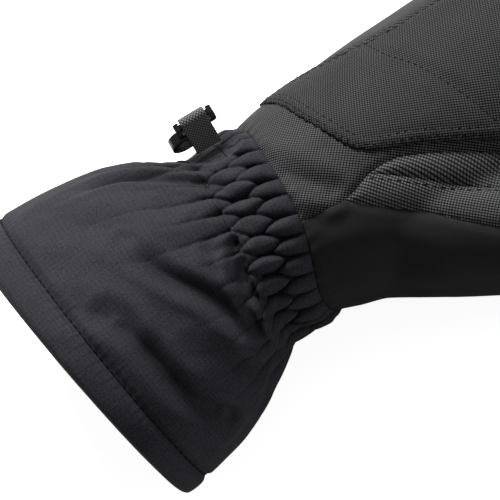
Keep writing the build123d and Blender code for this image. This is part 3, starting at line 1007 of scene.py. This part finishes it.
# arc length round an oval, so that the weave keeps its size as the sides turn down
arcTurn = np.linspace(-math.pi, math.pi, 721)
arcStep = np.hypot(49 * np.sin(arcTurn), 35 * np.cos(arcTurn)) * (arcTurn[1] - arcTurn[0])
arcRun = np.cumsum(arcStep)
arcRun -= np.interp(math.pi / 2, arcTurn, arcRun)


def handWeave(points):
    side, height, halfWidth, halfHeight, _ = oval(points[:, 0])
    wide = (points[:, 1] - side) / np.maximum(halfWidth, 4)
    high = (points[:, 2] - height) / np.maximum(halfHeight, 4)
    return np.stack([points[:, 0], -np.interp(np.arctan2(high, wide), arcTurn, arcRun)], 1)


def thumbWeave(points):
    t, turn, _ = thumbPlace(points)
    return np.stack([t * thumb["length"], -turn * 22], 1)


panels = {
    "handBack": ("dobbyBack", "hand_back", "back_weave", handWeave),
    "sideWall": ("sideWeave", "side_wall", "side_weave", handWeave),
    "palmPanel": ("palmLeather", "palm_panel", "palm_leather", handWeave),
    "wristGusset": ("softshell", "wrist_gusset", "softshell", thumbWeave),
    "thumbCrest": ("dobbyThumb", "thumb_crest", "back_weave", thumbWeave),
    "thumbBack": ("dobbyThumb", "thumb_back", "back_weave", thumbWeave),
    "thumbPalm": ("palmLeather", "thumb_palm", "palm_leather", thumbWeave),
}


# the points and faces of some of the skin, and which skin points they are
def pickFaces(chosen):
    used = sorted({k for f in chosen for k in f})
    place = {k: n for n, k in enumerate(used)}
    return np.array(used), [tuple(place[k] for k in f) for f in chosen]


def thicken(piece, thickness):
    solid = piece.modifiers.new("cloth", "SOLIDIFY")
    solid.thickness = thickness * 0.001
    solid.offset = -1
    return solid


for name, (material, node, slotName, weave) in panels.items():
    used, own = pickFaces([f for k, f in enumerate(faces) if label[k] == name])
    piece = addPiece(name, skin[used], own, material, [node], weave(skin[used]))
    thicken(piece, hand["cloth"])
print("hand panels made")


def normalFinder(points, normals):
    tree = KDTree(len(points))
    for k, p in enumerate(points):
        tree.insert(p, k)
    tree.balance()
    return lambda p: normals[tree.find(Vector(p))[1]]


# edges on the rim of some faces
def edgeEnds(own):
    count = {}
    for f in own:
        for a, b in zip(f, f[1:] + f[:1]):
            key = (min(a, b), max(a, b))
            count[key] = count.get(key, 0) + 1
    return [key for key, n in count.items() if n == 1]


# overlay over the knuckles
overlay = {"raise": 1.15, "edge": 0.9, "rows": (1.9, 4.5), "rowDip": 0.42, "rope": 0.38, "cloth": 1.3}
onHand = ~thumbHere & (pastWrist(centres) > 0)
covered = onHand & onTopSide & (inOverlay(centres) > 0)
used, own = pickFaces([f for f, keep in zip(faces, covered) if keep])
top = skin[used].copy()
topNormals = skinNormals[used]
rimGap = distanceTo(top, edgeEnds(own), top)
edge = np.clip(rimGap / overlay["edge"], 0, 1)
rise = overlay["raise"] * np.sqrt(1 - (1 - edge) ** 2) - 0.25 * (rimGap < 0.05)
for at in overlay["rows"]:
    rise -= overlay["rowDip"] * np.exp(-(((rimGap - at) / 0.55) ** 2))
middle = sum(overlay["rows"]) / 2
rise += overlay["rope"] * np.exp(-(((rimGap - middle) / 0.8) ** 2)) * (1 + 0.5 * roughness(top, 1.6, 5))
rise += 0.18 * (1 - np.exp(-((rimGap / 9) ** 2))) * roughness(top, 11, 6)
top = top + topNormals * rise[:, None]
uv = handWeave(top)
piece = addPiece("knuckleOverlay", top, own, "dobbyOverlay", ["knuckle_overlay"], uv)
thicken(piece, overlay["cloth"])
topNormals = normalsOf(top, own)
normalAt = normalFinder(top, topNormals)
rows = Stitches()
for at in overlay["rows"]:
    for line in isoLines(top, own, rimGap, at):
        rows.row(line, normalAt)
tree = BVHTree.FromPolygons([Vector(p) for p in top], own)
dart = curveThrough(((-11.5, 29), (-10.4, 24.2), (-8.2, 12.3), (-5, 5.2), (-1.9, -1), (4, -18), (10, -37)))
onTop = [tree.ray_cast(Vector((x, y, 150)), Vector((0, 0, -1)))[0] for x, y in dart]
rows.row(np.array([p for p in onTop if p is not None]), normalAt)
rows.finish("overlayStitches")

# stitches beside the thumb's crest
rows = Stitches()
used, own = pickFaces([f for k, f in enumerate(faces) if label[k] == "thumbBack"])
finder = normalFinder(skin[used], skinNormals[used])
crestGap = overCrest(skin[used]) * math.cos(math.radians(thumb["splay"]))
for line in isoLines(skin[used], own, crestGap, -1.6):
    rows.row(line, finder)
rows.finish("thumbStitches")

# patch under the palm
patch = {"row": 2.0, "edge": 0.8, "raise": 1.15, "cloth": 1.1}
covered = onHand & ~onTopSide & (inPatch(centres) > 0)
used, own = pickFaces([f for f, keep in zip(faces, covered) if keep])
low = skin[used].copy()
lowNormals = skinNormals[used]
rimGap = distanceTo(low, edgeEnds(own), low)
edge = np.clip(rimGap / patch["edge"], 0, 1)
low = low + lowNormals * (patch["raise"] * np.sqrt(1 - (1 - edge) ** 2) - 0.1)[:, None]
low[:, 2] = np.maximum(low[:, 2], 0.05)
uv = handWeave(low)
piece = addPiece("palmPatch", low, own, "patchLeather", ["palm_patch"], uv)
thicken(piece, patch["cloth"])
rows = Stitches()
finder = normalFinder(low, normalsOf(low, own))
for line in isoLines(low, own, rimGap, patch["row"]):
    rows.row(line, finder, -0.1)
rows.finish("patchStitches")
print("overlay, patch and stitches made")

# gathers and gauntlet
cuff = {
    "columns": 720,
    "puffs": 33,
    "puffHeight": 3.1,
    "puffBase": -1.0,
    "wander": 0.19,  # how unevenly the puffs are spaced
    "skew": 0.036,  # lean of the puffs, in puffs per mm
    "pleatRun": 9.0,  # how far the pleats run out into the gauntlet
    "rumple": 0.45,
    "stitchRow": 81.5,  # from the wrist seam to the hem's stitches
    "mouth": 93.5,
    "farSwell": 2.2,
    "underClip": ((-89.0, 36.0, 61.0), (-83.6, 30.0, 65.0), (-77.0, 21.0, 67.0), (-75.0, 17.0, 69.0)),
    "cloth": 1.0,
    "wall": 5.2,  # how deep the hem's fold is at the mouth
}
# folds in the gauntlet, as depth, width and points they run through
cuffFolds = (
    (2.6, 2.4, ((-77, -12, 69), (-79.1, -10.1, 69.7), (-83.8, 1.5, 70.4), (-94.6, 11.1, 71.3),
                (-110.8, 21.8, 71.4), (-130, 26, 74))),
    (2.2, 2.0, ((-79.4, 7.2, 70.1), (-87.1, 14.6, 68.7), (-95.9, 22.8, 67.4), (-112, 33, 67))),
    (2.0, 2.0, ((-80.6, 22.5, 64.7), (-90, 32, 62), (-104, 42, 58))),
    (2.4, 1.9, ((-80, -22, 66.5), (-88.4, -24.1, 66.7), (-94.5, -24.2, 68.5), (-92, -17, 70.4))),
    (1.5, 2.2, ((-94.5, -24.2, 68.5), (-97.5, -30, 66.5))),
    (2.8, 2.2, ((-86, -25, 65), (-88.1, -27.7, 64.5), (-91.6, -35.2, 61.3), (-93.9, -43.5, 55.2),
                (-94.8, -49.6, 44.9))),
    (2.5, 1.8, ((-86, -31, 62), (-89.1, -34.5, 60.1), (-89.6, -41.9, 52.3), (-90.2, -46, 42.3),
                (-89.5, -44.7, 32.4))),
    (3.4, 2.9, ((-119, -12, 77), (-115.6, -20, 76), (-109.8, -30.9, 71.9), (-105, -36.2, 67.6),
                (-99.8, -44, 60.2), (-97, -49.8, 51.5))),
    (3.4, 3.1, ((-135, -32, 76), (-131.4, -40, 73), (-128.6, -50.9, 67), (-127.5, -58.2, 61.6),
                (-124.6, -64.1, 53.9), (-118.3, -65.4, 42.7))),
    (1.9, 2.8, ((-116, -50, 62), (-105, -55.2, 50), (-99.5, -54.2, 41.3))),
    (2.0, 1.9, ((-82, -38, 52), (-84.4, -40.9, 49.3), (-88.5, -44.1, 44.5), (-88.1, -43.8, 33.8))),
    (-1.1, 5.0, ((-120, -6, 78), (-104, -12, 74), (-92, -10, 72))),
    (-0.9, 4.0, ((-112, -44, 68), (-106, -50, 60), (-102, -55, 50))),
    (1.2, 5.0, ((-140, 20, 78), (-128, 6, 78), (-118, -4, 77))),
    (1.2, 4.0, ((-150, -20, 79), (-140, -28, 77), (-132, -36, 74))),
    (1.3, 2.6, ((-92, -62, 40), (-104, -64, 30), (-118, -66, 26))),
    (1.6, 3.0, ((-84, 38, 40), (-98, 44, 36), (-118, 50, 34))),
    (1.4, 3.0, ((-84, 10, 8), (-98, 14, 4), (-116, 16, 1))),
    (1.4, 3.0, ((-84, -20, 10), (-98, -26, 6), (-120, -30, 2))),
)


# x at n mm back from the wrist seam, which is not straight
def cuffX(n, turn):
    shift = seamX(form["side"][1] + form["wristHalf"][0] * np.cos(turn)) - form["wristX"]
    keep = np.clip(1 - (n - 22) / 30, 0, 1)
    return form["wristX"] - n + shift * keep


# a smooth seeded wave round the girth that closes on itself
def wave(turn, count, seed):
    r = np.random.default_rng(seed)
    total = 0
    for k in range(1, count):
        total = total + r.normal() / math.sqrt(k) * np.sin(k * turn + r.uniform(0, 6.28))
    return total / math.sqrt(count)


# three rows of puffs, each shifted half a puff from the next
def puffLift(n, turn):
    count = cuff["puffs"]
    draw = np.random.default_rng(5)
    q = turn * count / (2 * math.pi)
    q = q + cuff["wander"] * (wave(turn, 18, 3) + 0.6 * wave(turn, 30, 4)) + cuff["skew"] * (n - 11)
    heights = draw.uniform(0.6, 1.1, 3 * count)
    runs = draw.uniform(0.6, 1.7, count)
    nearA = np.abs(q - np.round(q))
    nearB = np.abs(q - 0.5 - np.round(q - 0.5))
    idA = np.round(q).astype(int) % count
    idB = np.round(q - 0.5).astype(int) % count
    startA = 16.3 + 0.9 * wave(idA * 2 * math.pi / count, 9, 8)
    dA = (n - startA) / 7.4
    fullA = np.clip(1 - dA**2, 0, 1)
    wideA = 0.49 * fullA**0.75 + 1e-6
    a = fullA**0.3 * np.sqrt(np.clip(1 - (nearA / wideA) ** 2, 0, 1)) * heights[idA]
    dB = np.clip((n - 4.0) / 9.0, 0, 1.5)
    fullB = np.clip(1 - dB**2, 0, 1)
    wideB = 0.49 * fullB**0.8 + 1e-6
    b = fullB**0.4 * np.sqrt(np.clip(1 - (nearB / wideB) ** 2, 0, 1)) * heights[count + idB]
    b = b * (0.35 + 0.65 * smooth(n, -0.5, 4.5))
    dC = np.clip((24.5 - n) / 6.5, 0, 1.5)
    fullC = np.clip(1 - dC**2, 0, 1)
    wideC = 0.5 * fullC**0.75 + 1e-6
    keep = np.exp(-np.maximum(n - 24.5, 0) / (cuff["pleatRun"] * runs[idA]))
    bulge = np.sqrt(np.clip(1 - (nearB / wideC) ** 2, 0, 1))
    c = fullC**0.4 * (1 - keep * (1 - bulge)) * (1 - 0.15 * keep)
    return cuff["puffBase"] + cuff["puffHeight"] * np.maximum(np.maximum(a, b), c)


# how far the cloth stands off the plain form
def cuffLift(n, turn):
    lift = puffLift(n, turn)
    x = cuffX(n, turn)
    points = surface(x, turn, 1.0).reshape(-1, 3)
    out = (smooth(n, 24, 40)).ravel()
    rough = roughness(points, 21, 12) + 0.5 * roughness(points, 9, 13)
    extra = cuff["rumple"] * rough * out
    extra += foldLift(points, cuffFolds) * (0.35 + 0.65 * (n.ravel() > 22))
    far = np.exp(-(((turn.ravel() - math.radians(50)) / math.radians(34)) ** 2))
    extra += cuff["farSwell"] * far * smooth(n, 26, 50).ravel()
    lift = lift + extra.reshape(n.shape)
    row = np.exp(-(((n - cuff["stitchRow"]) / 1.5) ** 2))
    nearRow = np.exp(-(((n - cuff["stitchRow"]) / 4.0) ** 2))
    pucker = 0.07 * np.sin(turn * 105 + 3 * wave(turn, 20, 21)) * nearRow
    lift = lift - 1.1 * row + pucker
    # pressed flat under the webbing loop and the clip, so that they can move
    clear = lineDistance(points, np.array(cuff["underClip"])).reshape(n.shape)
    lift = np.minimum(lift, -0.45 + 0.45 * np.maximum(clear - 6.5, 0))
    return np.maximum(lift, -1.0)


cuffTurns = np.linspace(0, 2 * math.pi, cuff["columns"], endpoint=False)
along = np.concatenate([np.arange(-1.8, 26, 0.38), np.linspace(26, cuff["stitchRow"] + 0.6, 62)])
n, turn = np.meshgrid(along, cuffTurns, indexing="ij")
lift = cuffLift(n, turn)
lift[n < 0] = -1.3  # tucked under the hand's edge
outer = surface(cuffX(n, turn), turn, lift)
inner = surface(cuffX(n, turn), turn, lift - cuff["cloth"])
weaveRadius = 52.0  # turns an angle round the cuff into mm of weave
clothMap = np.stack([n, turn * weaveRadius], -1)
split = int(np.argmin(np.abs(along - 23.2)))  # the gathers' sleeve ends at this row


def gridPiece(name, rowSlice, columnIds, closed, material, node):
    picked = [grid[rowSlice][:, columnIds] for grid in (outer, inner, clothMap)]
    points, own = shellMesh(picked[0], picked[1], closed)
    uv = np.concatenate([picked[2].reshape(-1, 2)] * 2)
    return addPiece(name, points, turnedOut(points, own), material, [node], uv)


everyColumn = np.arange(cuff["columns"])
half = cuff["columns"] // 2
upperColumns = np.arange(0, half + 1)
underColumns = np.append(np.arange(half, cuff["columns"]), 0)
sleeve, rest = slice(0, split + 1), slice(split, None)
gridPiece("wristGathers", sleeve, everyColumn, True, "ripstop", "wrist_gathers")
gridPiece("gauntletBack", rest, upperColumns, False, "ripstop", "gauntlet_back")
gridPiece("gauntletPalm", rest, underColumns, False, "ripstop", "gauntlet_palm")
print("gauntlet made")

# hem: the cloth folds round the mouth and is stitched to its own inside
hem = {"edge": 2.4, "puff": 0.5}
hemOut = np.linspace(cuff["stitchRow"] - 0.4, cuff["mouth"] - hem["edge"], 16)
n, turn = np.meshgrid(hemOut, cuffTurns, indexing="ij")
lift = cuffLift(n, turn) + hem["puff"] * np.sin(math.pi * np.clip((n - 82) / 11, 0, 1))
section = list(surface(cuffX(n, turn), turn, lift))
outerLift = lift[-1]
wall = cuff["wall"]


# a ring round the cuff at n mm back from the wrist seam
def cuffRing(n, lift):
    return surface(cuffX(np.full(cuff["columns"], n), cuffTurns), cuffTurns, lift)


for a in np.linspace(0, math.pi, 11)[1:]:
    reach = cuff["mouth"] - hem["edge"] + hem["edge"] * math.sin(a)
    middle = (outerLift - wall) / 2
    radius = (outerLift + wall) / 2
    section.append(cuffRing(reach, middle + radius * math.cos(a)))
turnedIn = (
    (88.0, wall), (84.0, wall), (81.2, wall - 0.3), (81.2, wall - 1.0), (84.0, wall - 1.2),
    (88.0, wall - 1.3), (90.0, wall - 1.6), (90.0, 0.9), (88.0, 1.0),
)
for at, depth in turnedIn:
    section.append(cuffRing(at, np.full(cuff["columns"], -depth)))
section.append(surface(cuffX(n[0], cuffTurns), cuffTurns, lift[0] - cuff["cloth"]))
ring = np.array(section)
rows, count = ring.shape[:2]
own = []
for r in range(rows):
    for c in range(count):
        d, s = (c + 1) % count, (r + 1) % rows
        own.append((r * count + c, r * count + d, s * count + d, s * count + c))
points = ring.reshape(-1, 3)
run = np.concatenate([[0], np.cumsum(np.linalg.norm(np.diff(ring[:, 0], axis=0), axis=1))])
uv = np.stack(np.meshgrid(run + cuff["stitchRow"], cuffTurns * weaveRadius, indexing="ij"), -1).reshape(-1, 2)
addPiece("gauntletHem", points, turnedOut(points, own), "ripstop", ["gauntlet_hem"], uv)

rows = Stitches(2.3, 0.8, 0.5)
rowTurn = np.linspace(0, 2 * math.pi, 1600)
n = np.full_like(rowTurn, cuff["stitchRow"])
line = surface(cuffX(n, rowTurn), rowTurn, cuffLift(n[None], rowTurn[None])[0] + 0.1)
outwards = surface(cuffX(n, rowTurn), rowTurn, np.full_like(rowTurn, 5.0)) - line
finder = normalFinder(line, outwards / np.linalg.norm(outwards, axis=1, keepdims=True))
rows.row(line, finder)
rows.finish("hemStitches")

# threads of the shirring rows, down between the puffs
rows = Stitches(1.0, 0.6, 0.32)
for at in (11.2, 22.6):
    rowTurn = np.linspace(0, 2 * math.pi, 1100)
    n = np.full_like(rowTurn, at)
    lift = cuffLift(n[None], rowTurn[None])[0]
    line = surface(cuffX(n, rowTurn), rowTurn, lift + 0.08)
    outwards = surface(cuffX(n, rowTurn), rowTurn, lift + 5) - line
    unit = outwards / np.linalg.norm(outwards, axis=1, keepdims=True)
    for k in range(0, len(rowTurn) - 3, 3):
        if lift[k] < -0.35:
            rows.add(line[k], line[k + 2], line[k + 1], unit[k])
rows.finish("shirringStitches")

# linings
lining = {"wrinkle": 0.4, "handDepth": 7.9, "cuffDepth": 5.5, "thick": 0.8, "thumbOpening": 8.5}


# how deep the lining's face lies: the wadding is thicker in the hand
def liningLift(n):
    toHand = np.clip(1 - (n - 22) / 36, 0, 1)
    return -(lining["cuffDepth"] + (lining["handDepth"] - lining["cuffDepth"]) * toHand)


def wrinkled(points, size):
    flat = points.reshape(-1, 3)
    return (size * (roughness(flat, 13, 31) + 0.6 * roughness(flat, 5, 32))).reshape(points.shape[:-1])


along = np.linspace(82.5, 16.0, 66)
liningTurns = np.linspace(0, 2 * math.pi, 240, endpoint=False)
n, turn = np.meshgrid(along, liningTurns, indexing="ij")
depth = liningLift(n)
plain = surface(cuffX(n, turn), turn, depth)
depth = depth + wrinkled(plain, lining["wrinkle"]) * smooth(82.5 - n, 0, 6)
depth = depth - 0.4 * np.exp(-np.maximum(n - 22, 0) / 8) * (1 + np.cos(turn * 30)) * smooth(n, 14, 22)
a = surface(cuffX(n, turn), turn, depth)
b = surface(cuffX(n, turn), turn, depth + lining["thick"])
points, own = shellMesh(a, b, True)
uv = np.concatenate([np.stack([n, turn * 48], -1).reshape(-1, 2)] * 2)
own = turnedOut(points, own)
addPiece("gauntletLining", points, own, "cuffLining", ["gauntlet_lining"], uv)

# the hand's lining, open where the thumb's lining begins
depth = lining["handDepth"] + 0.4
roundHand = np.linspace(0, 2 * math.pi, 160, endpoint=False)
alongHand = np.linspace(-79, form["palmX"], 64)
rings = [surface(np.full(160, x), roundHand, np.full(160, -depth)) for x in alongHand]
side, height, halfWidth, halfHeight, _ = [float(v) for v in oval(form["palmX"])]
for angle in range(4, 90, 4):
    reach = math.sin(math.radians(angle)) ** form["domePower"]
    share = math.cos(math.radians(angle)) ** form["domePower"]
    x = np.full(160, form["palmX"] + (form["fingertips"] - depth) * reach)
    y = side + (halfWidth - depth) * share * np.cos(roundHand)
    z = height - form["drop"] * reach**2 + (halfHeight - depth) * share * np.sin(roundHand)
    rings.append(np.stack([x, y, z], 1))
rings = np.array(rings)
tube = rings.reshape(-1, 3)
tube[:, 2] = np.maximum(tube[:, 2], 1.2 + depth)
own = tubeFaces(len(rings), 160)
own.pop(-2)  # open towards the cuff
normals = normalsOf(tube, own)
outwards = np.sign(normals[:, 2:] * (tube[:, 2:] - 36) + 1e-9)
tube = tube - normals * (wrinkled(tube, 0.35) + 0.35)[:, None] * outwards
middles = np.array([tube[list(f)].mean(axis=0) for f in own])
share, _, outside = thumbPlace(middles)
opening = (outside < -lining["thumbOpening"]) & (share > 0.12) & (middles[:, 1] < -20)
used, own = pickFaces([f for f, cut in zip(own, opening) if not cut])
uv = handWeave(tube[used])
piece = addPiece("handLining", tube[used], own, "lining", ["hand_lining"], uv)
thicken(piece, 0.8)
piece.modifiers["cloth"].offset = 0

# webbing loop
webbing = {"width": 10.0, "thick": 1.1, "bar": 1.56, "root": 0.62, "reach": 11.6}
rootAxis = np.array([-77.0, 21.34, 67.3])
barAxis = np.array([-77.0, 26.53, 77.67])
outward = (barAxis - rootAxis) / np.linalg.norm(barAxis - rootAxis)
sideways = np.cross(np.array([1.0, 0, 0]), outward)
radius = webbing["bar"] + webbing["thick"] / 2
leanTurn = math.acos((radius - webbing["root"]) / webbing["reach"])
path = []
for t in np.linspace(0, 1, 30, endpoint=False):
    r = webbing["root"] + (radius - webbing["root"]) * t
    path.append((webbing["reach"] * t + r * math.cos(leanTurn), r * math.sin(leanTurn)))
for a in np.linspace(leanTurn, -leanTurn, 40):
    path.append((webbing["reach"] + radius * math.cos(a), radius * math.sin(a)))
for t in np.linspace(1, 0, 30, endpoint=False):
    r = webbing["root"] + (radius - webbing["root"]) * t
    path.append((webbing["reach"] * t + r * math.cos(leanTurn), -r * math.sin(leanTurn)))
path = np.array(path)
tangent = np.gradient(path, axis=0)
tangent /= np.linalg.norm(tangent, axis=1, keepdims=True)
across = np.stack([-tangent[:, 1], tangent[:, 0]], 1)
run = np.concatenate([[0], np.cumsum(np.linalg.norm(np.diff(path, axis=0), axis=1))])
half, thick = webbing["width"] / 2, webbing["thick"] / 2
outline = [(w, thick) for w in np.linspace(-half + 0.5, half - 0.5, 37)]
outline += [(half - 0.5 + 0.5 * math.sin(a), thick * math.cos(a)) for a in np.linspace(0, math.pi, 7)[1:-1]]
outline += [(w, -thick) for w in np.linspace(half - 0.5, -half + 0.5, 37)]
outline += [(-half + 0.5 - 0.5 * math.sin(a), -thick * math.cos(a)) for a in np.linspace(0, math.pi, 7)[1:-1]]
points, uv = [], []
for p, m, s in zip(path, across, run):
    for w, t in outline:
        knot = abs(math.sin((s + w) * 2.5)) * abs(math.sin((s - w) * 2.5))
        t = t * (0.9 + 0.1 * knot)
        q = rootAxis + outward * (p[0] + m[0] * t) + sideways * (p[1] + m[1] * t) + np.array([w, 0, 0])
        points.append(q)
        uv.append((s, w))
own = tubeFaces(len(path), len(outline))
own = turnedOut(points, own)
loop = addPiece("clipLoop", points, own, "webbing", ["clip_loop"], uv, body="webbing_loop")
print("linings and loop made")

# finishes of the CAD nodes that still show
finishes = {
    "gauntlet_wadding": "wadding",
    "hand_wadding": "wadding",
    "thumb_wadding": "wadding",
    "waterproof_insert": "film",
    "thumb_lining": "lining",
    "wrist_elastic_1": "elastic",
    "wrist_elastic_2": "elastic",
    "wrist_elastic_3": "elastic",
    "clip_hook": "clipPlastic",
    "clip_gate": "clipPlastic",
    "gate_pin": "pinSteel",
}
for name, material in finishes.items():
    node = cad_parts[name]
    node.data.materials.clear()
    node.data.materials.append(cloth[material])

# floor, light and camera
studio = {
    "sky": 0.135,
    "key": 14.5,
    "fill": 1.3,
    "floorGlow": 0.92,
    "aim": (-0.0835, -0.0027, 0.0356),
    "away": 0.6,
}
floorMesh = bpy.data.meshes.new("floor")
floorMesh.from_pydata([(-2, -2, 0), (2, -2, 0), (2, 2, 0), (-2, 2, 0)], [], [(0, 1, 2, 3)])
floor = bpy.data.objects.new("floor", floorMesh)
bpy.context.scene.collection.objects.link(floor)
floor.location.z = -0.0004
material, tree, shader = startMaterial("floor")
shader.inputs["Base Color"].default_value = (0.82, 0.82, 0.82, 1)
shader.inputs["Roughness"].default_value = 0.9
ray = addNode(tree, "LightPath")
shader.inputs["Emission Color"].default_value = (1, 1, 1, 1)
glow = calc(tree, "MULTIPLY", ray.outputs["Is Camera Ray"], studio["floorGlow"])
tree.links.new(glow, shader.inputs["Emission Strength"])
floorMesh.materials.append(material)
floor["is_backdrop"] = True

world = bpy.data.worlds.new("studio")
bpy.context.scene.world = world
world.use_nodes = True
tree = world.node_tree
background = tree.nodes["Background"]
background.inputs["Color"].default_value = (1, 1, 1, 1)
ray = addNode(tree, "LightPath")
seen = calc(tree, "MULTIPLY", ray.outputs["Is Camera Ray"], 1 - studio["sky"])
tree.links.new(calc(tree, "ADD", seen, studio["sky"]), background.inputs["Strength"])

right = Vector((0.857, -0.383, -0.345))
up = Vector((0.515, 0.637, 0.573))
back = right.cross(up)
aim = Vector(studio["aim"])


def addLight(name, place, size, power):
    data = bpy.data.lights.new(name, "AREA")
    data.shape = "DISK"
    data.size = size
    data.energy = power
    light = bpy.data.objects.new(name, data)
    bpy.context.scene.collection.objects.link(light)
    light.location = aim + place
    light.rotation_mode = "QUATERNION"
    light.rotation_quaternion = (-place).to_track_quat("-Z", "Y")
    light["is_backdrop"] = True
    return light


addLight("key", (up * 1.3 - right * 0.6 + back * 0.2) * 0.66, 0.36, studio["key"])
addLight("fill", (right * 0.9 + up * 0.3 + back * 0.8) * 0.8, 0.9, studio["fill"])

cameraData = bpy.data.cameras.new("camera")
cameraData.lens = 120
cameraData.sensor_width = 36
cameraData.clip_start = 0.01
camera = bpy.data.objects.new("camera", cameraData)
bpy.context.scene.collection.objects.link(camera)
basis = Matrix((right, up, back)).transposed().to_4x4()
basis.translation = aim + back * studio["away"]
camera.matrix_world = basis
bpy.context.scene.camera = camera
bpy.context.scene.view_settings.view_transform = "Standard"

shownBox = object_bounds()
for label, box in (("cad", cadBox), ("shown", shownBox)):
    print(label, [round(v * 1000, 1) for corner in box for v in corner])
